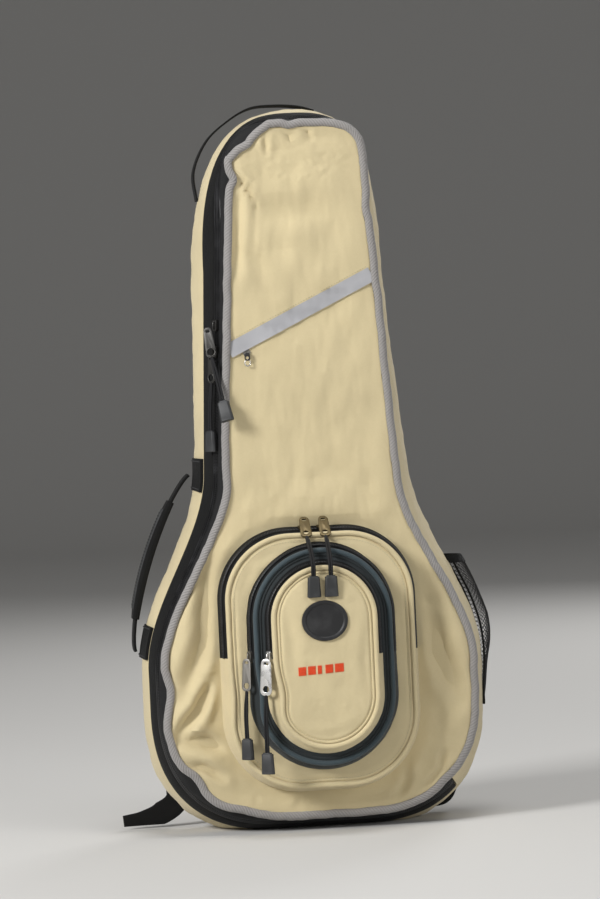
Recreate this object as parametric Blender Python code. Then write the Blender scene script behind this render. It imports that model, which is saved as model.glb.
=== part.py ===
"""Padded mandolin gig bag, modelled piece by piece as it would come apart on a sewing bench.

Metres, +Z up. The origin is the middle of the flat that the bag stands on, the front faces -Y
and +X is to the right of someone who looks at the front.
"""
import bpy
import bmesh
from math import atan, cos, pi, sin
from mathutils import Matrix, Vector

for old in list(bpy.data.objects):
    bpy.data.objects.remove(old)

# Clearance between two pieces that touch, and at the slanting seams where the zip ends
GAP = 0.0003
SEAM_GAP = 0.0008

# Widest outline of the shell, seen from the front
BASE_HALF = 0.050
BOUT_HALF = 0.181
BOUT_Z = 0.130
BOUT_SQUARENESS = 2.4
SHOULDER_FOOT_Z = 0.175
SHOULDER_TOP_Z = 0.385
NECK_HALF = 0.114
HEAD_HALF = 0.108
HEAD_SAG = 0.014
SAG_SQUARENESS = 2.8
NECK_SAG = 0.003
HEAD_RISE = 0.200
HEAD_SQUARENESS = 2.4
BAG_HEIGHT = 0.760
HEAD_Z = BAG_HEIGHT - HEAD_RISE

# Outline of the front panel's piping, smaller than the shell all round
FRONT_BASE_HALF = 0.040
FRONT_BASE_Z = 0.016
FRONT_BOUT_HALF = 0.164
FRONT_BOUT_Z = 0.142
FRONT_BOUT_SQUARENESS = 2.4
FRONT_SHOULDER_FOOT_Z = 0.170
FRONT_SHOULDER_TOP_Z = 0.375
FRONT_NECK_HALF = 0.0905
FRONT_HEAD_HALF = 0.0715
FRONT_HEAD_RISE = 0.062
FRONT_HEAD_SQUARENESS = 4.0
FRONT_TOP_DROP = 0.018
FRONT_TOP_Z = BAG_HEIGHT - FRONT_TOP_DROP
FRONT_HEAD_Z = FRONT_TOP_Z - FRONT_HEAD_RISE

# Depth of the shell and where its rings of fabric meet
FRONT_Y = -0.052
BACK_Y = 0.052
WIDEST_Y = 0.025
SPLIT_Y = -0.036
TAPE_BACK_Y = -0.010
COIL_HALF = 0.0045
FRONT_ROUNDING = 1.8
BACK_INSET = 0.008
FLOOR_PRESS = 0.006
LID_LIFT = 0.0006
FLOOR_CLEAR = 0.002

# Fabric, foam and piping
COVER_T = 0.003
TAPE_T = 0.0025
FOAM_T = 0.008
LINING_T = 0.0012
PIPING_R = 0.004
FOAM_MARGIN = 0.0015

# Ends of the main zip: steps of the outline, counted from the middle of the base up the right
BOUT_STEPS = 8
SHOULDER_STEPS = 6
NECK_STEPS = 2
HEAD_STEPS = 8
ZIP_LOW_STEP = 4
ZIP_HIGH_STEP = BOUT_STEPS + SHOULDER_STEPS + NECK_STEPS + 4

# Line that the lid turns about, laid along the right side from bout to head
LID_AXIS_LOW = Vector((0.1842, SPLIT_Y, 0.120))
LID_AXIS_LEAN = 0.181

# Pockets, one on top of the other, each a tray that unzips round its top
ZIP_END_Z = 0.186
POCKET_FLARE = 0.007
POCKET_WALL = 0.003
POCKET_BAND_SHARE = 0.58
POCKET_EDGE = 0.006
LARGE_HALF = 0.1045
LARGE_LOW_Z = 0.0415
LARGE_HIGH_Z = 0.3195
LARGE_LOW_R = 0.080
LARGE_HIGH_R = 0.075
LARGE_DEPTH = 0.030
MIDDLE_HALF = 0.0785
MIDDLE_LOW_Z = 0.066
MIDDLE_HIGH_Z = 0.304
MIDDLE_DEPTH = 0.020
SMALL_HALF = 0.061
SMALL_LOW_Z = 0.0845
SMALL_HIGH_Z = 0.2865
SMALL_DEPTH = 0.014

# Badge on the small pocket
BADGE_Z = 0.2235
BADGE_HALF_W = 0.024
BADGE_HALF_H = 0.021
BADGE_T = 0.0025

# Sliders and what hangs from them
SLIDER_L = 0.013
SLIDER_W = 0.0085
SLIDER_T = 0.0045
SLIDER_CLEAR = 0.0005
TAB_W = 0.0115
TAB_T = 0.0014
LARGE_SLIDER_LEFT = -0.011
LARGE_SLIDER_RIGHT = 0.009
LARGE_SLIDER_SHARE = 0.45
LARGE_TAB = Vector((0.0, -0.0235, -0.0130))
LARGE_CORD_BEND = 0.009
LARGE_CORD_KNEE = 0.026
LARGE_CORD_DROP = 0.039
SIDE_SLIDER_RISE = 0.002
SIDE_SLIDER_W = 0.0068
MIDDLE_TAB_L = 0.034
MIDDLE_TIP_Z = 0.104
SMALL_TAB_L = 0.038
SMALL_TIP_Z = 0.090
UPPER_SLIDER_Z = 0.534
UPPER_TAB_LIFT = 0.0052
UPPER_TAB_LEAN = -0.16
UPPER_TAB_L = 0.024
UPPER_TIP_Z = 0.448
LOWER_SLIDER_Z = 0.506
LOWER_TAB_L = 0.030
LOWER_TIP_Z = 0.424
MAIN_TAB_DRIFT = 0.03
CORD_R = 0.0011
CORD_SWAY = 0.0035
TIP_L = 0.021
TIP_W = 0.0145
TIP_T = 0.0060
TIP_SHAPE = ((0.0, 0.40, 0.5), (0.08, 0.66, 0.85), (0.50, 0.86, 1.0), (0.88, 1.0, 1.0),
             (0.97, 0.94, 0.8), (1.0, 0.84, 0.5))

# Reflective flap over the slanting document zip
FLAP_LOW = Vector((-0.0765, 0.0, 0.508))
FLAP_HIGH = Vector((0.071, 0.0, 0.579))
FLAP_W = 0.015
FLAP_T = 0.0016
FLAP_BOW = 0.0015
DOC_SLIDER_INSET = 0.012
DOC_SLIDER_L = 0.008
DOC_SLIDER_W = 0.005
DOC_SLIDER_T = 0.003
DOC_PULL_L = 0.013
DOC_PULL_W = 0.006

# Side handle on the left
HANDLE_Y = 0.029
HANDLE_LOW_Z = 0.190
HANDLE_HIGH_Z = 0.376
HANDLE_RISE = 0.017
HANDLE_T = 0.009
HANDLE_CLEAR = 0.002
GRIP_W = 0.030
HANDLE_WEB_W = 0.026
GRIP_SHARE = 0.17

# Hang loop of webbing at the top left
LOOP_Y = 0.032
LOOP_W = 0.022
LOOP_T = 0.002

# Mesh pocket on the right side
MESH_LOW_Z = 0.118
MESH_HIGH_Z = 0.279
MESH_FRONT_Y = 0.004
MESH_BACK_Y = 0.044
MESH_BULGE = 0.017
MESH_T = 0.0014
BINDING_H = 0.009

# Backpack straps
STRAP_TOP_X = 0.034
STRAP_TOP_DROP = 0.168
STRAP_TOP_Z = BAG_HEIGHT - STRAP_TOP_DROP
PAD_W = 0.056
PAD_T = 0.011
PAD_BOW = 0.012
PAD_LOW_X = 0.118
PAD_LOW_Z = 0.205
STRAP_WEB_W = 0.025
STRAP_WEB_T = 0.0018
STRAP_LOW_EDGE = 0.003
# Routes of the webbing below the pads, as across, depth off the back, and height
LEFT_WEB = ((-0.128, 0.0, 0.130), (-0.141, 0.0, 0.062), (-0.1475, 0.0, 0.030),
            (-0.163, 0.0, 0.0165), (-0.185, -0.001, 0.0110), (-0.207, -0.004, 0.0090))
RIGHT_WEB = ((0.128, 0.0, 0.130), (0.141, 0.0, 0.062), (0.1445, 0.0, 0.036),
             (0.140, 0.0, 0.0200), (0.126, 0.0, 0.0165))
LOCK_X = 0.142
LOCK_Z = 0.040
LOCK_W = 0.034
LOCK_H = 0.030
LOCK_T = 0.005
LOCK_SLOT_SHARE = 0.2
LOCK_SLOT_EASE = 0.0015
YOKE_W = 0.130
YOKE_H = 0.048
YOKE_T = 0.010

# Neck cradle and its strap, inside
CRADLE_Z = 0.435
CRADLE_W = 0.150
CRADLE_H = 0.060
CRADLE_T = 0.036
CRADLE_NOTCH_W = 0.056
CRADLE_NOTCH_D = 0.024
NECK_STRAP_W = 0.026
NECK_STRAP_T = 0.0025
NECK_STRAP_HALF = 0.050


def material(name, colour, roughness, metallic=0.0):
    """A plain Principled material in the photographed colour of one kind of piece."""
    made = bpy.data.materials.new(name)
    made.use_nodes = True
    shader = made.node_tree.nodes["Principled BSDF"]
    shader.inputs["Base Color"].default_value = (*colour, 1.0)
    shader.inputs["Roughness"].default_value = roughness
    shader.inputs["Metallic"].default_value = metallic
    return made


TAN = (0.66, 0.56, 0.33)
BLACK = (0.014, 0.014, 0.015)
SLATE = (0.042, 0.058, 0.068)
GREY = (0.36, 0.35, 0.38)
REFLECTIVE = (0.44, 0.44, 0.46)
FOAM_GREY = (0.20, 0.20, 0.21)
TIP_GREY = (0.09, 0.09, 0.10)
NICKEL = (0.30, 0.29, 0.28)
SILVER = (0.62, 0.61, 0.60)
BRASS = (0.34, 0.26, 0.15)


def add_mesh(name, points, faces, look, body=None):
    """Make a closed body from points and faces, facing outward, carried by an empty."""
    shape = bmesh.new()
    corners = [shape.verts.new(point) for point in points]
    for face in faces:
        shape.faces.new([corners[index] for index in face])
    bmesh.ops.recalc_face_normals(shape, faces=shape.faces)
    mesh = bpy.data.meshes.new(name)
    shape.to_mesh(mesh)
    shape.free()
    made = bpy.data.objects.new(name, mesh)
    bpy.context.scene.collection.objects.link(made)
    colour, roughness, metallic = look
    made.data.materials.append(material(name, colour, roughness, metallic))
    attach(made, body)
    return made


def attach(piece, body):
    """Let a piece or an empty ride on a joint's empty, staying where it is."""
    if body is None:
        return
    piece.parent = body
    piece.matrix_parent_inverse = body.matrix_world.inverted()


def joint_empty(name, place, body=None):
    """An empty on a joint's axis, which carries the pieces that move with it."""
    made = bpy.data.objects.new(name, None)
    bpy.context.scene.collection.objects.link(made)
    made.location = place
    bpy.context.view_layer.update()
    attach(made, body)
    bpy.context.view_layer.update()
    return made


def loft(name, sections, look, body=None, ring=False):
    """Skin a row of equal cross-sections; a ring joins the last to the first."""
    count = len(sections[0])
    points = [point for section in sections for point in section]
    faces = []
    steps = len(sections) if ring else len(sections) - 1
    for row in range(steps):
        here = row * count
        there = (row + 1) % len(sections) * count
        for side in range(count):
            after = (side + 1) % count
            faces.append((here + side, here + after, there + after, there + side))
    if not ring:
        faces.append(tuple(range(count)))
        faces.append(tuple(range(len(points) - count, len(points))))
    return add_mesh(name, points, faces, look, body)


FABRIC = 0.85
look_tan = (TAN, FABRIC, 0.0)
look_black = (BLACK, FABRIC, 0.0)
look_slate = (SLATE, FABRIC, 0.0)
look_piping = (GREY, 0.6, 0.0)
look_reflective = (REFLECTIVE, 0.4, 0.0)
look_foam = (FOAM_GREY, 0.95, 0.0)
look_lining = (GREY, 0.9, 0.0)
look_rubber = (BLACK, 0.45, 0.0)
look_tip = (TIP_GREY, 0.5, 0.0)
look_nickel = (NICKEL, 0.35, 1.0)
look_silver = (SILVER, 0.25, 1.0)
look_brass = (BRASS, 0.4, 1.0)


# Outlines of the shell

def half_outline(base_half, base_z, bout_half, bout_z, bout_n, foot_z, top_z, neck_half,
                 head_half, head_z, head_n, high_z):
    """Right half of an outline from the base to the top: bout, shoulder, neck and head."""
    line = []
    for step in range(BOUT_STEPS + 1):
        turn = pi / 2 * step / BOUT_STEPS
        out = (sin(turn)) ** (2 / bout_n)
        down = (cos(turn)) ** (2 / bout_n)
        line.append((base_half + (bout_half - base_half) * out, bout_z - (bout_z - base_z) * down))
    for step in range(1, SHOULDER_STEPS + 1):
        share = step / SHOULDER_STEPS
        ease = share * share * (3 - 2 * share)
        line.append((bout_half + (neck_half - bout_half) * ease, foot_z + (top_z - foot_z) * share))
    for step in range(1, NECK_STEPS + 1):
        share = step / NECK_STEPS
        line.append((neck_half + (head_half - neck_half) * share, top_z + (head_z - top_z) * share))
    for step in range(1, HEAD_STEPS + 1):
        turn = pi / 2 * step / HEAD_STEPS
        out = max(cos(turn), 0.0) ** (2 / head_n)
        up = (sin(turn)) ** (2 / head_n)
        line.append((head_half * out, head_z + (high_z - head_z) * up))
    return line


WIDE_LINE = half_outline(BASE_HALF, -FLOOR_PRESS, BOUT_HALF, BOUT_Z, BOUT_SQUARENESS, SHOULDER_FOOT_Z,
                         SHOULDER_TOP_Z, NECK_HALF, HEAD_HALF, HEAD_Z, HEAD_SQUARENESS, BAG_HEIGHT)
FRONT_LINE = half_outline(FRONT_BASE_HALF, FRONT_BASE_Z, FRONT_BOUT_HALF, FRONT_BOUT_Z,
                          FRONT_BOUT_SQUARENESS, FRONT_SHOULDER_FOOT_Z, FRONT_SHOULDER_TOP_Z,
                          FRONT_NECK_HALF, FRONT_HEAD_HALF, FRONT_HEAD_Z, FRONT_HEAD_SQUARENESS,
                          FRONT_TOP_Z)
SAGGED_LINE = half_outline(BASE_HALF, -FLOOR_PRESS, BOUT_HALF, BOUT_Z, BOUT_SQUARENESS,
                           SHOULDER_FOOT_Z, SHOULDER_TOP_Z, NECK_HALF - NECK_SAG,
                           HEAD_HALF - HEAD_SAG, HEAD_Z, SAG_SQUARENESS, BAG_HEIGHT)
HALF_STEPS = len(WIDE_LINE) - 1


def both_halves(right, left):
    """Close two halves into a loop: up the right, over the top, down the left."""
    return right + [(-across, up) for across, up in left[-2::-1]]


def half_at(wide_line, share):
    """Right half of the outline at one depth, between the front line and a wide line."""
    half = []
    for (front_x, front_z), (wide_x, wide_z) in zip(FRONT_LINE, wide_line):
        half.append((front_x + (wide_x - front_x) * share, front_z + (wide_z - front_z) * share))
    return half


def inset_loop(loop, inset):
    """Move a closed loop of (x, z) points inward along its own normals."""
    moved = []
    count = len(loop)
    for index in range(count):
        before = Vector(loop[index - 1])
        after = Vector(loop[(index + 1) % count])
        along = (after - before).normalized()
        inward = Vector((-along.y, along.x))
        moved.append(Vector(loop[index]) + inward * inset)
    return moved


def shell_loop(y, inset=0.0, floor=0.0):
    """The shell's outline at one depth, its head sagged on the right, and flat where it stands."""
    if y <= WIDEST_Y:
        share = 1 - ((WIDEST_Y - y) / (WIDEST_Y - FRONT_Y)) ** FRONT_ROUNDING
        back_inset = 0.0
    else:
        share = 1.0
        back_inset = BACK_INSET * ((y - WIDEST_Y) / (BACK_Y - WIDEST_Y)) ** 2
    loop = both_halves(half_at(SAGGED_LINE, share), half_at(WIDE_LINE, share))
    loop = inset_loop(loop, back_inset + inset)
    lowest = floor + inset
    return [Vector((p.x, y, max(p.y, lowest))) for p in loop]


LOOP_COUNT = len(both_halves(SAGGED_LINE, WIDE_LINE))


def shell_sections(depths, inset, wall, steps, floor=0.0):
    """Cross-sections of a fabric ring: outer skin front to back, then inner skin back again."""
    outer = [shell_loop(y, inset, floor) for y in depths]
    inner = [shell_loop(y, inset + wall, floor) for y in depths[::-1]]
    sections = []
    for step in steps:
        low = int(step // 1)
        share = step - low
        section = []
        for loop in outer + inner:
            here = loop[low % LOOP_COUNT]
            there = loop[(low + 1) % LOOP_COUNT]
            section.append(here.lerp(there, share))
        sections.append(section)
    return sections


def gap_share(step):
    """The share of one outline step that makes the clearance between two ends."""
    loop = shell_loop(SPLIT_Y)
    here = loop[step % LOOP_COUNT]
    there = loop[(step + 1) % LOOP_COUNT]
    return SEAM_GAP / (there - here).length


ZIP_STEPS = list(range(ZIP_HIGH_STEP, LOOP_COUNT + ZIP_LOW_STEP + 1))
HINGE_STEPS = ([ZIP_LOW_STEP + gap_share(ZIP_LOW_STEP)] + list(range(ZIP_LOW_STEP + 1, ZIP_HIGH_STEP))
               + [ZIP_HIGH_STEP - gap_share(ZIP_HIGH_STEP - 1)])
WHOLE_RING = list(range(LOOP_COUNT))


def flat_plate(name, y_front, y_back, inset, look, body=None):
    """A flat panel that fills the shell's outline between two depths."""
    side = FRONT_Y if y_front < 0 else BACK_Y
    floor = LID_LIFT if y_front < 0 else PIPING_R + FLOOR_CLEAR
    outline = shell_loop(side, inset, floor)
    front = [Vector((p.x, y_front, p.z)) for p in outline]
    back = [Vector((p.x, y_back, p.z)) for p in outline]
    return loft(name, [front, back], look, body)


def tube(name, path, radius, look, body=None, sides=6, ring=False):
    """A round cord swept along a path that lies roughly in an upright plane."""
    sections = []
    count = len(path)
    for index in range(count):
        before = path[index - 1] if ring or index else path[0]
        after = path[(index + 1) % count] if ring or index < count - 1 else path[-1]
        along = (after - before).normalized()
        across = along.cross(Vector((0, 1, 0))).normalized()
        up = across.cross(along)
        section = []
        for side in range(sides):
            turn = 2 * pi * side / sides
            section.append(path[index] + (across * cos(turn) + up * sin(turn)) * radius)
        sections.append(section)
    return loft(name, sections, look, body, ring)


# Rear half of the shell, which the lid hinges on

def build_rear_shell():
    side_y = (TAPE_BACK_Y + WIDEST_Y) / 2
    tape_y = (SPLIT_Y + TAPE_BACK_Y) / 2
    gusset_y = (TAPE_BACK_Y + GAP, side_y, WIDEST_Y, (WIDEST_Y + BACK_Y) / 2,
                BACK_Y - PIPING_R - GAP)
    sections = shell_sections(gusset_y, 0.0, COVER_T, WHOLE_RING)
    loft("rear_gusset", sections, look_tan, ring=True)
    band_y = (SPLIT_Y + COIL_HALF + GAP, tape_y, TAPE_BACK_Y)
    loft("rear_zip_band", shell_sections(band_y, 0.0, COVER_T, ZIP_STEPS), look_black)
    coil_y = (SPLIT_Y + GAP / 2, SPLIT_Y + COIL_HALF)
    loft("rear_zip_coil", shell_sections(coil_y, 0.0, TAPE_T, ZIP_STEPS), look_black)
    hinge_y = (SPLIT_Y + GAP / 2, SPLIT_Y + COIL_HALF + GAP, tape_y, TAPE_BACK_Y)
    loft("hinge_gusset_rear", shell_sections(hinge_y, 0.0, COVER_T, HINGE_STEPS), look_tan)
    foam_y = (SPLIT_Y + GAP, TAPE_BACK_Y + GAP, side_y, WIDEST_Y,
              BACK_Y - PIPING_R - FOAM_T - 2 * GAP)
    foam = shell_sections(foam_y, COVER_T + FOAM_MARGIN, FOAM_T, WHOLE_RING)
    loft("rear_gusset_foam", foam, look_foam, ring=True)
    flat_plate("back_panel", BACK_Y - PIPING_R, BACK_Y, PIPING_R + GAP, look_tan)
    foam_back = BACK_Y - PIPING_R - GAP
    flat_plate("back_foam", foam_back - FOAM_T, foam_back, COVER_T + FOAM_MARGIN, look_foam)
    lining_back = foam_back - FOAM_T - GAP
    flat_plate("back_lining", lining_back - LINING_T, lining_back,
               COVER_T + FOAM_T + 2 * GAP + FOAM_MARGIN, look_lining)
    path = shell_loop(BACK_Y, 0.0, PIPING_R + FLOOR_CLEAR)
    tube("back_piping", path, PIPING_R, look_piping, ring=True)


# Lid: the front half of the shell

lid = joint_empty("lid_axis", LID_AXIS_LOW)
lid.rotation_euler.y = -atan(LID_AXIS_LEAN)
bpy.context.view_layer.update()


def build_lid_shell():
    gusset_y = (FRONT_Y + PIPING_R + GAP, (FRONT_Y + SPLIT_Y) / 2, SPLIT_Y - COIL_HALF - GAP)
    band = shell_sections(gusset_y, 0.0, COVER_T, ZIP_STEPS, LID_LIFT)
    loft("front_gusset", band, look_black, lid)
    coil_y = (SPLIT_Y - COIL_HALF, SPLIT_Y - GAP / 2)
    coil = shell_sections(coil_y, 0.0, TAPE_T, ZIP_STEPS, LID_LIFT)
    loft("front_zip_coil", coil, look_black, lid)
    hinge_y = gusset_y + (SPLIT_Y - GAP / 2,)
    hinge = shell_sections(hinge_y, 0.0, COVER_T, HINGE_STEPS, LID_LIFT)
    loft("hinge_gusset_front", hinge, look_tan, lid)
    flat_plate("front_panel", FRONT_Y, FRONT_Y + PIPING_R, PIPING_R + GAP, look_tan, lid)
    foam_front = FRONT_Y + PIPING_R + GAP
    flat_plate("front_foam", foam_front, foam_front + FOAM_T, COVER_T + FOAM_MARGIN, look_foam, lid)
    lining_front = foam_front + FOAM_T + GAP
    flat_plate("front_lining", lining_front, lining_front + LINING_T,
               COVER_T + FOAM_MARGIN, look_lining, lid)
    tube("front_piping", shell_loop(FRONT_Y), PIPING_R, look_piping, lid, ring=True)


# Pockets

def pocket_loop(half, low_z, high_z, low_r, high_r, inset=0.0, arc_steps=7):
    """Rounded outline that starts and ends at the zip's left end, going over the top."""
    half = half - inset
    low_z = low_z + inset
    high_z = high_z - inset
    low_r = low_r - inset
    high_r = high_r - inset
    loop = [(-half, ZIP_END_Z + GAP / 2)]
    for side in (-1, 1):
        for step in range(arc_steps + 1):
            turn = pi / 2 * step / arc_steps
            if side > 0:
                turn = pi / 2 - turn
            across = side * (half - high_r + high_r * cos(turn))
            loop.append((across, high_z - high_r + high_r * sin(turn)))
    loop.append((half, ZIP_END_Z + GAP / 2))
    loop.append((half, ZIP_END_Z - GAP / 2))
    for side in (1, -1):
        for step in range(arc_steps + 1):
            turn = pi / 2 * step / arc_steps
            if side < 0:
                turn = pi / 2 - turn
            across = side * (half - low_r + low_r * cos(turn))
            loop.append((across, low_z + low_r - low_r * sin(turn)))
    loop.append((-half, ZIP_END_Z - GAP / 2))
    cleaned = []
    for point in loop:
        if not cleaned or (Vector(point) - Vector(cleaned[-1])).length > GAP / 2:
            cleaned.append(point)
    return cleaned


def at_depth(loop, y):
    return [Vector((across, y, up)) for across, up in loop]


def pocket(name, half, low_z, high_z, low_r, high_r, back_y, depth, look, base, body):
    """One pocket: zip band and lower gusset on what carries it, and the tray that unzips."""
    def outline(inset):
        return pocket_loop(half, low_z, high_z, low_r, high_r, inset)
    band_front = back_y - depth * POCKET_BAND_SHARE
    foot = outline(0.0)
    foot_inner = outline(POCKET_WALL)
    outer = outline(POCKET_FLARE)
    inner = outline(POCKET_FLARE + POCKET_WALL)
    zip_steps = foot.index((half, ZIP_END_Z + GAP / 2)) + 1
    sections = []
    for (ax, az), (bx, bz), (cx, cz), (dx, dz) in zip(foot, outer, inner, foot_inner):
        sections.append([Vector((ax, back_y, az)), Vector((bx, band_front, bz)),
                         Vector((cx, band_front, cz)), Vector((dx, back_y, dz))])
    loft(name + "_zip_band", sections[:zip_steps], look_black, base)
    loft(name + "_lower_gusset", sections[zip_steps:], look, base)
    tray_back = band_front - GAP
    front = back_y - depth
    inside = front + POCKET_WALL
    loops = [at_depth(inner, inside), at_depth(inner, tray_back), at_depth(outer, tray_back),
             at_depth(outer, front + POCKET_EDGE * 0.8),
             at_depth(outline(POCKET_FLARE + POCKET_EDGE * 0.3), front + POCKET_EDGE * 0.3),
             at_depth(outline(POCKET_FLARE + POCKET_EDGE), front)]
    loft(name + "_panel", loops, look, body)
    return front


def pocket_hinge(name, low_z, back_y, depth, body):
    """The seam along a pocket's bottom, which its tray tips forward on."""
    seam_y = back_y - depth * POCKET_BAND_SHARE - GAP
    return joint_empty(name, Vector((0.0, seam_y, low_z)), body)


large_back = FRONT_Y - GAP
middle_back = large_back - LARGE_DEPTH - GAP
small_back = middle_back - MIDDLE_DEPTH - GAP
large_tray = pocket_hinge("large_pocket_axis", LARGE_LOW_Z, large_back, LARGE_DEPTH, lid)
middle_tray = pocket_hinge("middle_pocket_axis", MIDDLE_LOW_Z, middle_back, MIDDLE_DEPTH, large_tray)
small_tray = pocket_hinge("small_pocket_axis", SMALL_LOW_Z, small_back, SMALL_DEPTH, middle_tray)


def build_pockets():
    pocket("large_pocket", LARGE_HALF, LARGE_LOW_Z, LARGE_HIGH_Z, LARGE_LOW_R, LARGE_HIGH_R,
           large_back, LARGE_DEPTH, look_tan, lid, large_tray)
    pocket("middle_pocket", MIDDLE_HALF, MIDDLE_LOW_Z, MIDDLE_HIGH_Z, MIDDLE_HALF, MIDDLE_HALF,
           middle_back, MIDDLE_DEPTH, look_slate, large_tray, middle_tray)
    front = pocket("small_pocket", SMALL_HALF, SMALL_LOW_Z, SMALL_HIGH_Z, SMALL_HALF, SMALL_HALF,
                   small_back, SMALL_DEPTH, look_tan, middle_tray, small_tray)
    build_badge(front)


def build_badge(front):
    """A moulded rubber badge on the small pocket, oval and blank."""
    sections = []
    for share, depth in ((1.0, GAP), (1.0, BADGE_T * 0.6), (0.94, BADGE_T)):
        section = []
        for step in range(24):
            turn = 2 * pi * step / 24
            section.append(Vector((BADGE_HALF_W * share * cos(turn), front - depth,
                                   BADGE_Z + BADGE_HALF_H * share * sin(turn))))
        sections.append(section)
    loft("badge", sections, look_rubber, small_tray)


# Sliders, tabs and cord pulls

def placed(place, along, out):
    """A frame on a surface: local x along the zip, local y across it, local z outward."""
    along = along.normalized()
    out = (out - along * out.dot(along)).normalized()
    across = out.cross(along)
    frame = Matrix((along, across, out)).transposed().to_4x4()
    return Matrix.Translation(place) @ frame


def slider(name, frame, look, body, length=SLIDER_L, width=SLIDER_W, thick=SLIDER_T):
    """A zip slider: a waisted plate with a raised bridge along its middle."""
    plate_share = 0.5
    rows = ((-0.5, 0.62), (-0.3, 1.0), (0.25, 0.9), (0.5, 0.7))
    sections = []
    for share, wide in rows:
        crown = thick if abs(share) < 0.4 else thick * plate_share * 1.1
        half = width / 2 * wide
        bridge = width / 5
        section = [(-half, 0.0), (half, 0.0), (half, thick * plate_share),
                   (bridge, thick * plate_share), (bridge, crown), (-bridge, crown),
                   (-bridge, thick * plate_share), (-half, thick * plate_share)]
        sections.append([frame @ Vector((share * length, across, up)) for across, up in section])
    return loft(name, sections, look, body)


def pull_tab(name, top, down, out, length, look, body, width=TAB_W, thick=TAB_T):
    """A flat metal tab, round at its lower end, that hangs from a slider."""
    frame = placed(top, down, out)
    rows = [(0.0, 0.55), (0.08, 0.8), (0.7, 1.0), (0.85, 0.92), (0.95, 0.66), (1.0, 0.3)]
    sections = []
    for share, wide in rows:
        half = width / 2 * wide
        section = ((-half, -thick / 2), (half, -thick / 2), (half, thick / 2), (-half, thick / 2))
        sections.append([frame @ Vector((share * length, across, up)) for across, up in section])
    return loft(name, sections, look, body)


def smooth_route(points, per_span):
    """Points on a smooth curve through a cord's hand-picked route."""
    route = [Vector(point) for point in points]
    ends = [route[0] * 2 - route[1]] + route + [route[-1] * 2 - route[-2]]
    line = []
    for span in range(len(route) - 1):
        a, b, c, d = ends[span:span + 4]
        for step in range(per_span):
            t = step / per_span
            line.append(0.5 * ((2 * b) + (c - a) * t + (2 * a - 5 * b + 4 * c - d) * t * t
                               + (3 * b - a - 3 * c + d) * t * t * t))
    line.append(route[-1])
    return line


def cord_pull(name, points, flat, body, plate=None):
    """A thin cord with a moulded grip on its end, and a metal tab above it where one starts."""
    path = smooth_route(points, 3)
    down = (Vector(points[-1]) - Vector(points[-2])).normalized()
    stations = [(point, CORD_R, CORD_R) for point in path]
    if plate is not None:
        shape = ((0.0, 0.6), (0.12, 1.0), (0.86, 1.0), (0.96, 0.6))
        tab = [(plate.lerp(path[0], share), TAB_W / 2 * wide, TAB_T / 2) for share, wide in shape]
        stations = tab + stations
    for share, wide, thick in TIP_SHAPE:
        centre = path[-1] + down * (CORD_R + share * TIP_L)
        stations.append((centre, TIP_W / 2 * wide, TIP_T / 2 * thick))
    sections = []
    for index, (centre, wide, thick) in enumerate(stations):
        before = stations[max(index - 1, 0)][0]
        after = stations[min(index + 1, len(stations) - 1)][0]
        along = (after - before).normalized()
        out = (flat - along * flat.dot(along)).normalized()
        across = along.cross(out)
        section = []
        for side in range(8):
            turn = 2 * pi * (side + 0.5) / 8
            section.append(centre + across * wide * cos(turn) + out * thick * sin(turn))
        sections.append(section)
    return loft(name, sections, look_tip, body)


def build_main_sliders():
    """Two sliders on the left of the neck, each with a tab and a cord pull."""
    foot_step = LOOP_COUNT - 1 - BOUT_STEPS - SHOULDER_STEPS
    loop = shell_loop(SPLIT_Y)
    low = loop[foot_step]
    high = loop[foot_step - NECK_STEPS]
    along = (high - low).normalized()
    behind = shell_loop(SPLIT_Y + SLIDER_W / 2)[foot_step - 1]
    before = shell_loop(SPLIT_Y - SLIDER_W / 2)[foot_step - 1]
    out = along.cross(behind - before).normalized()
    if out.x > 0:
        out = -out
    pulls = {"upper": (UPPER_SLIDER_Z, UPPER_TAB_LIFT, UPPER_TAB_LEAN, UPPER_TAB_L, UPPER_TIP_Z),
             "lower": (LOWER_SLIDER_Z, 0.0, 0.0, LOWER_TAB_L, LOWER_TIP_Z)}
    for which, (height, lift, forward, tab_l, end_z) in pulls.items():
        share = (height - low.z) / (high.z - low.z)
        place = low.lerp(high, share) + out * SLIDER_CLEAR
        slide = joint_empty("main_slider_" + which + "_track", place, lid)
        slider("main_slider_" + which, placed(place, along, out), look_nickel, slide)
        pivot = place + out * (SLIDER_T + TAB_T) - along * SLIDER_L * 0.2
        swing = joint_empty("main_tab_" + which + "_axis", pivot, slide)
        start = pivot + out * (GAP + lift)
        lean = Vector((-MAIN_TAB_DRIFT, forward, -1.0)).normalized()
        pull_tab("main_tab_" + which, start, lean, out, tab_l, look_nickel, swing)
        foot = start + lean * (tab_l + GAP + CORD_R)
        fall = foot.z - end_z
        end = Vector((foot.x - CORD_SWAY, foot.y + forward * fall, end_z))
        middle = foot.lerp(end, 0.5) - Vector((CORD_SWAY * 0.3, 0.0, 0.0))
        cord_pull("main_cord_" + which, (foot, middle, end), out, swing)


def band_place(back_y, depth, share):
    """Inset, depth and outward slope (across, forward) part of the way up a flared band."""
    run = depth * POCKET_BAND_SHARE
    slope = Vector((run, POCKET_FLARE)).normalized()
    return POCKET_FLARE * share, back_y - run * share, slope


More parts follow.
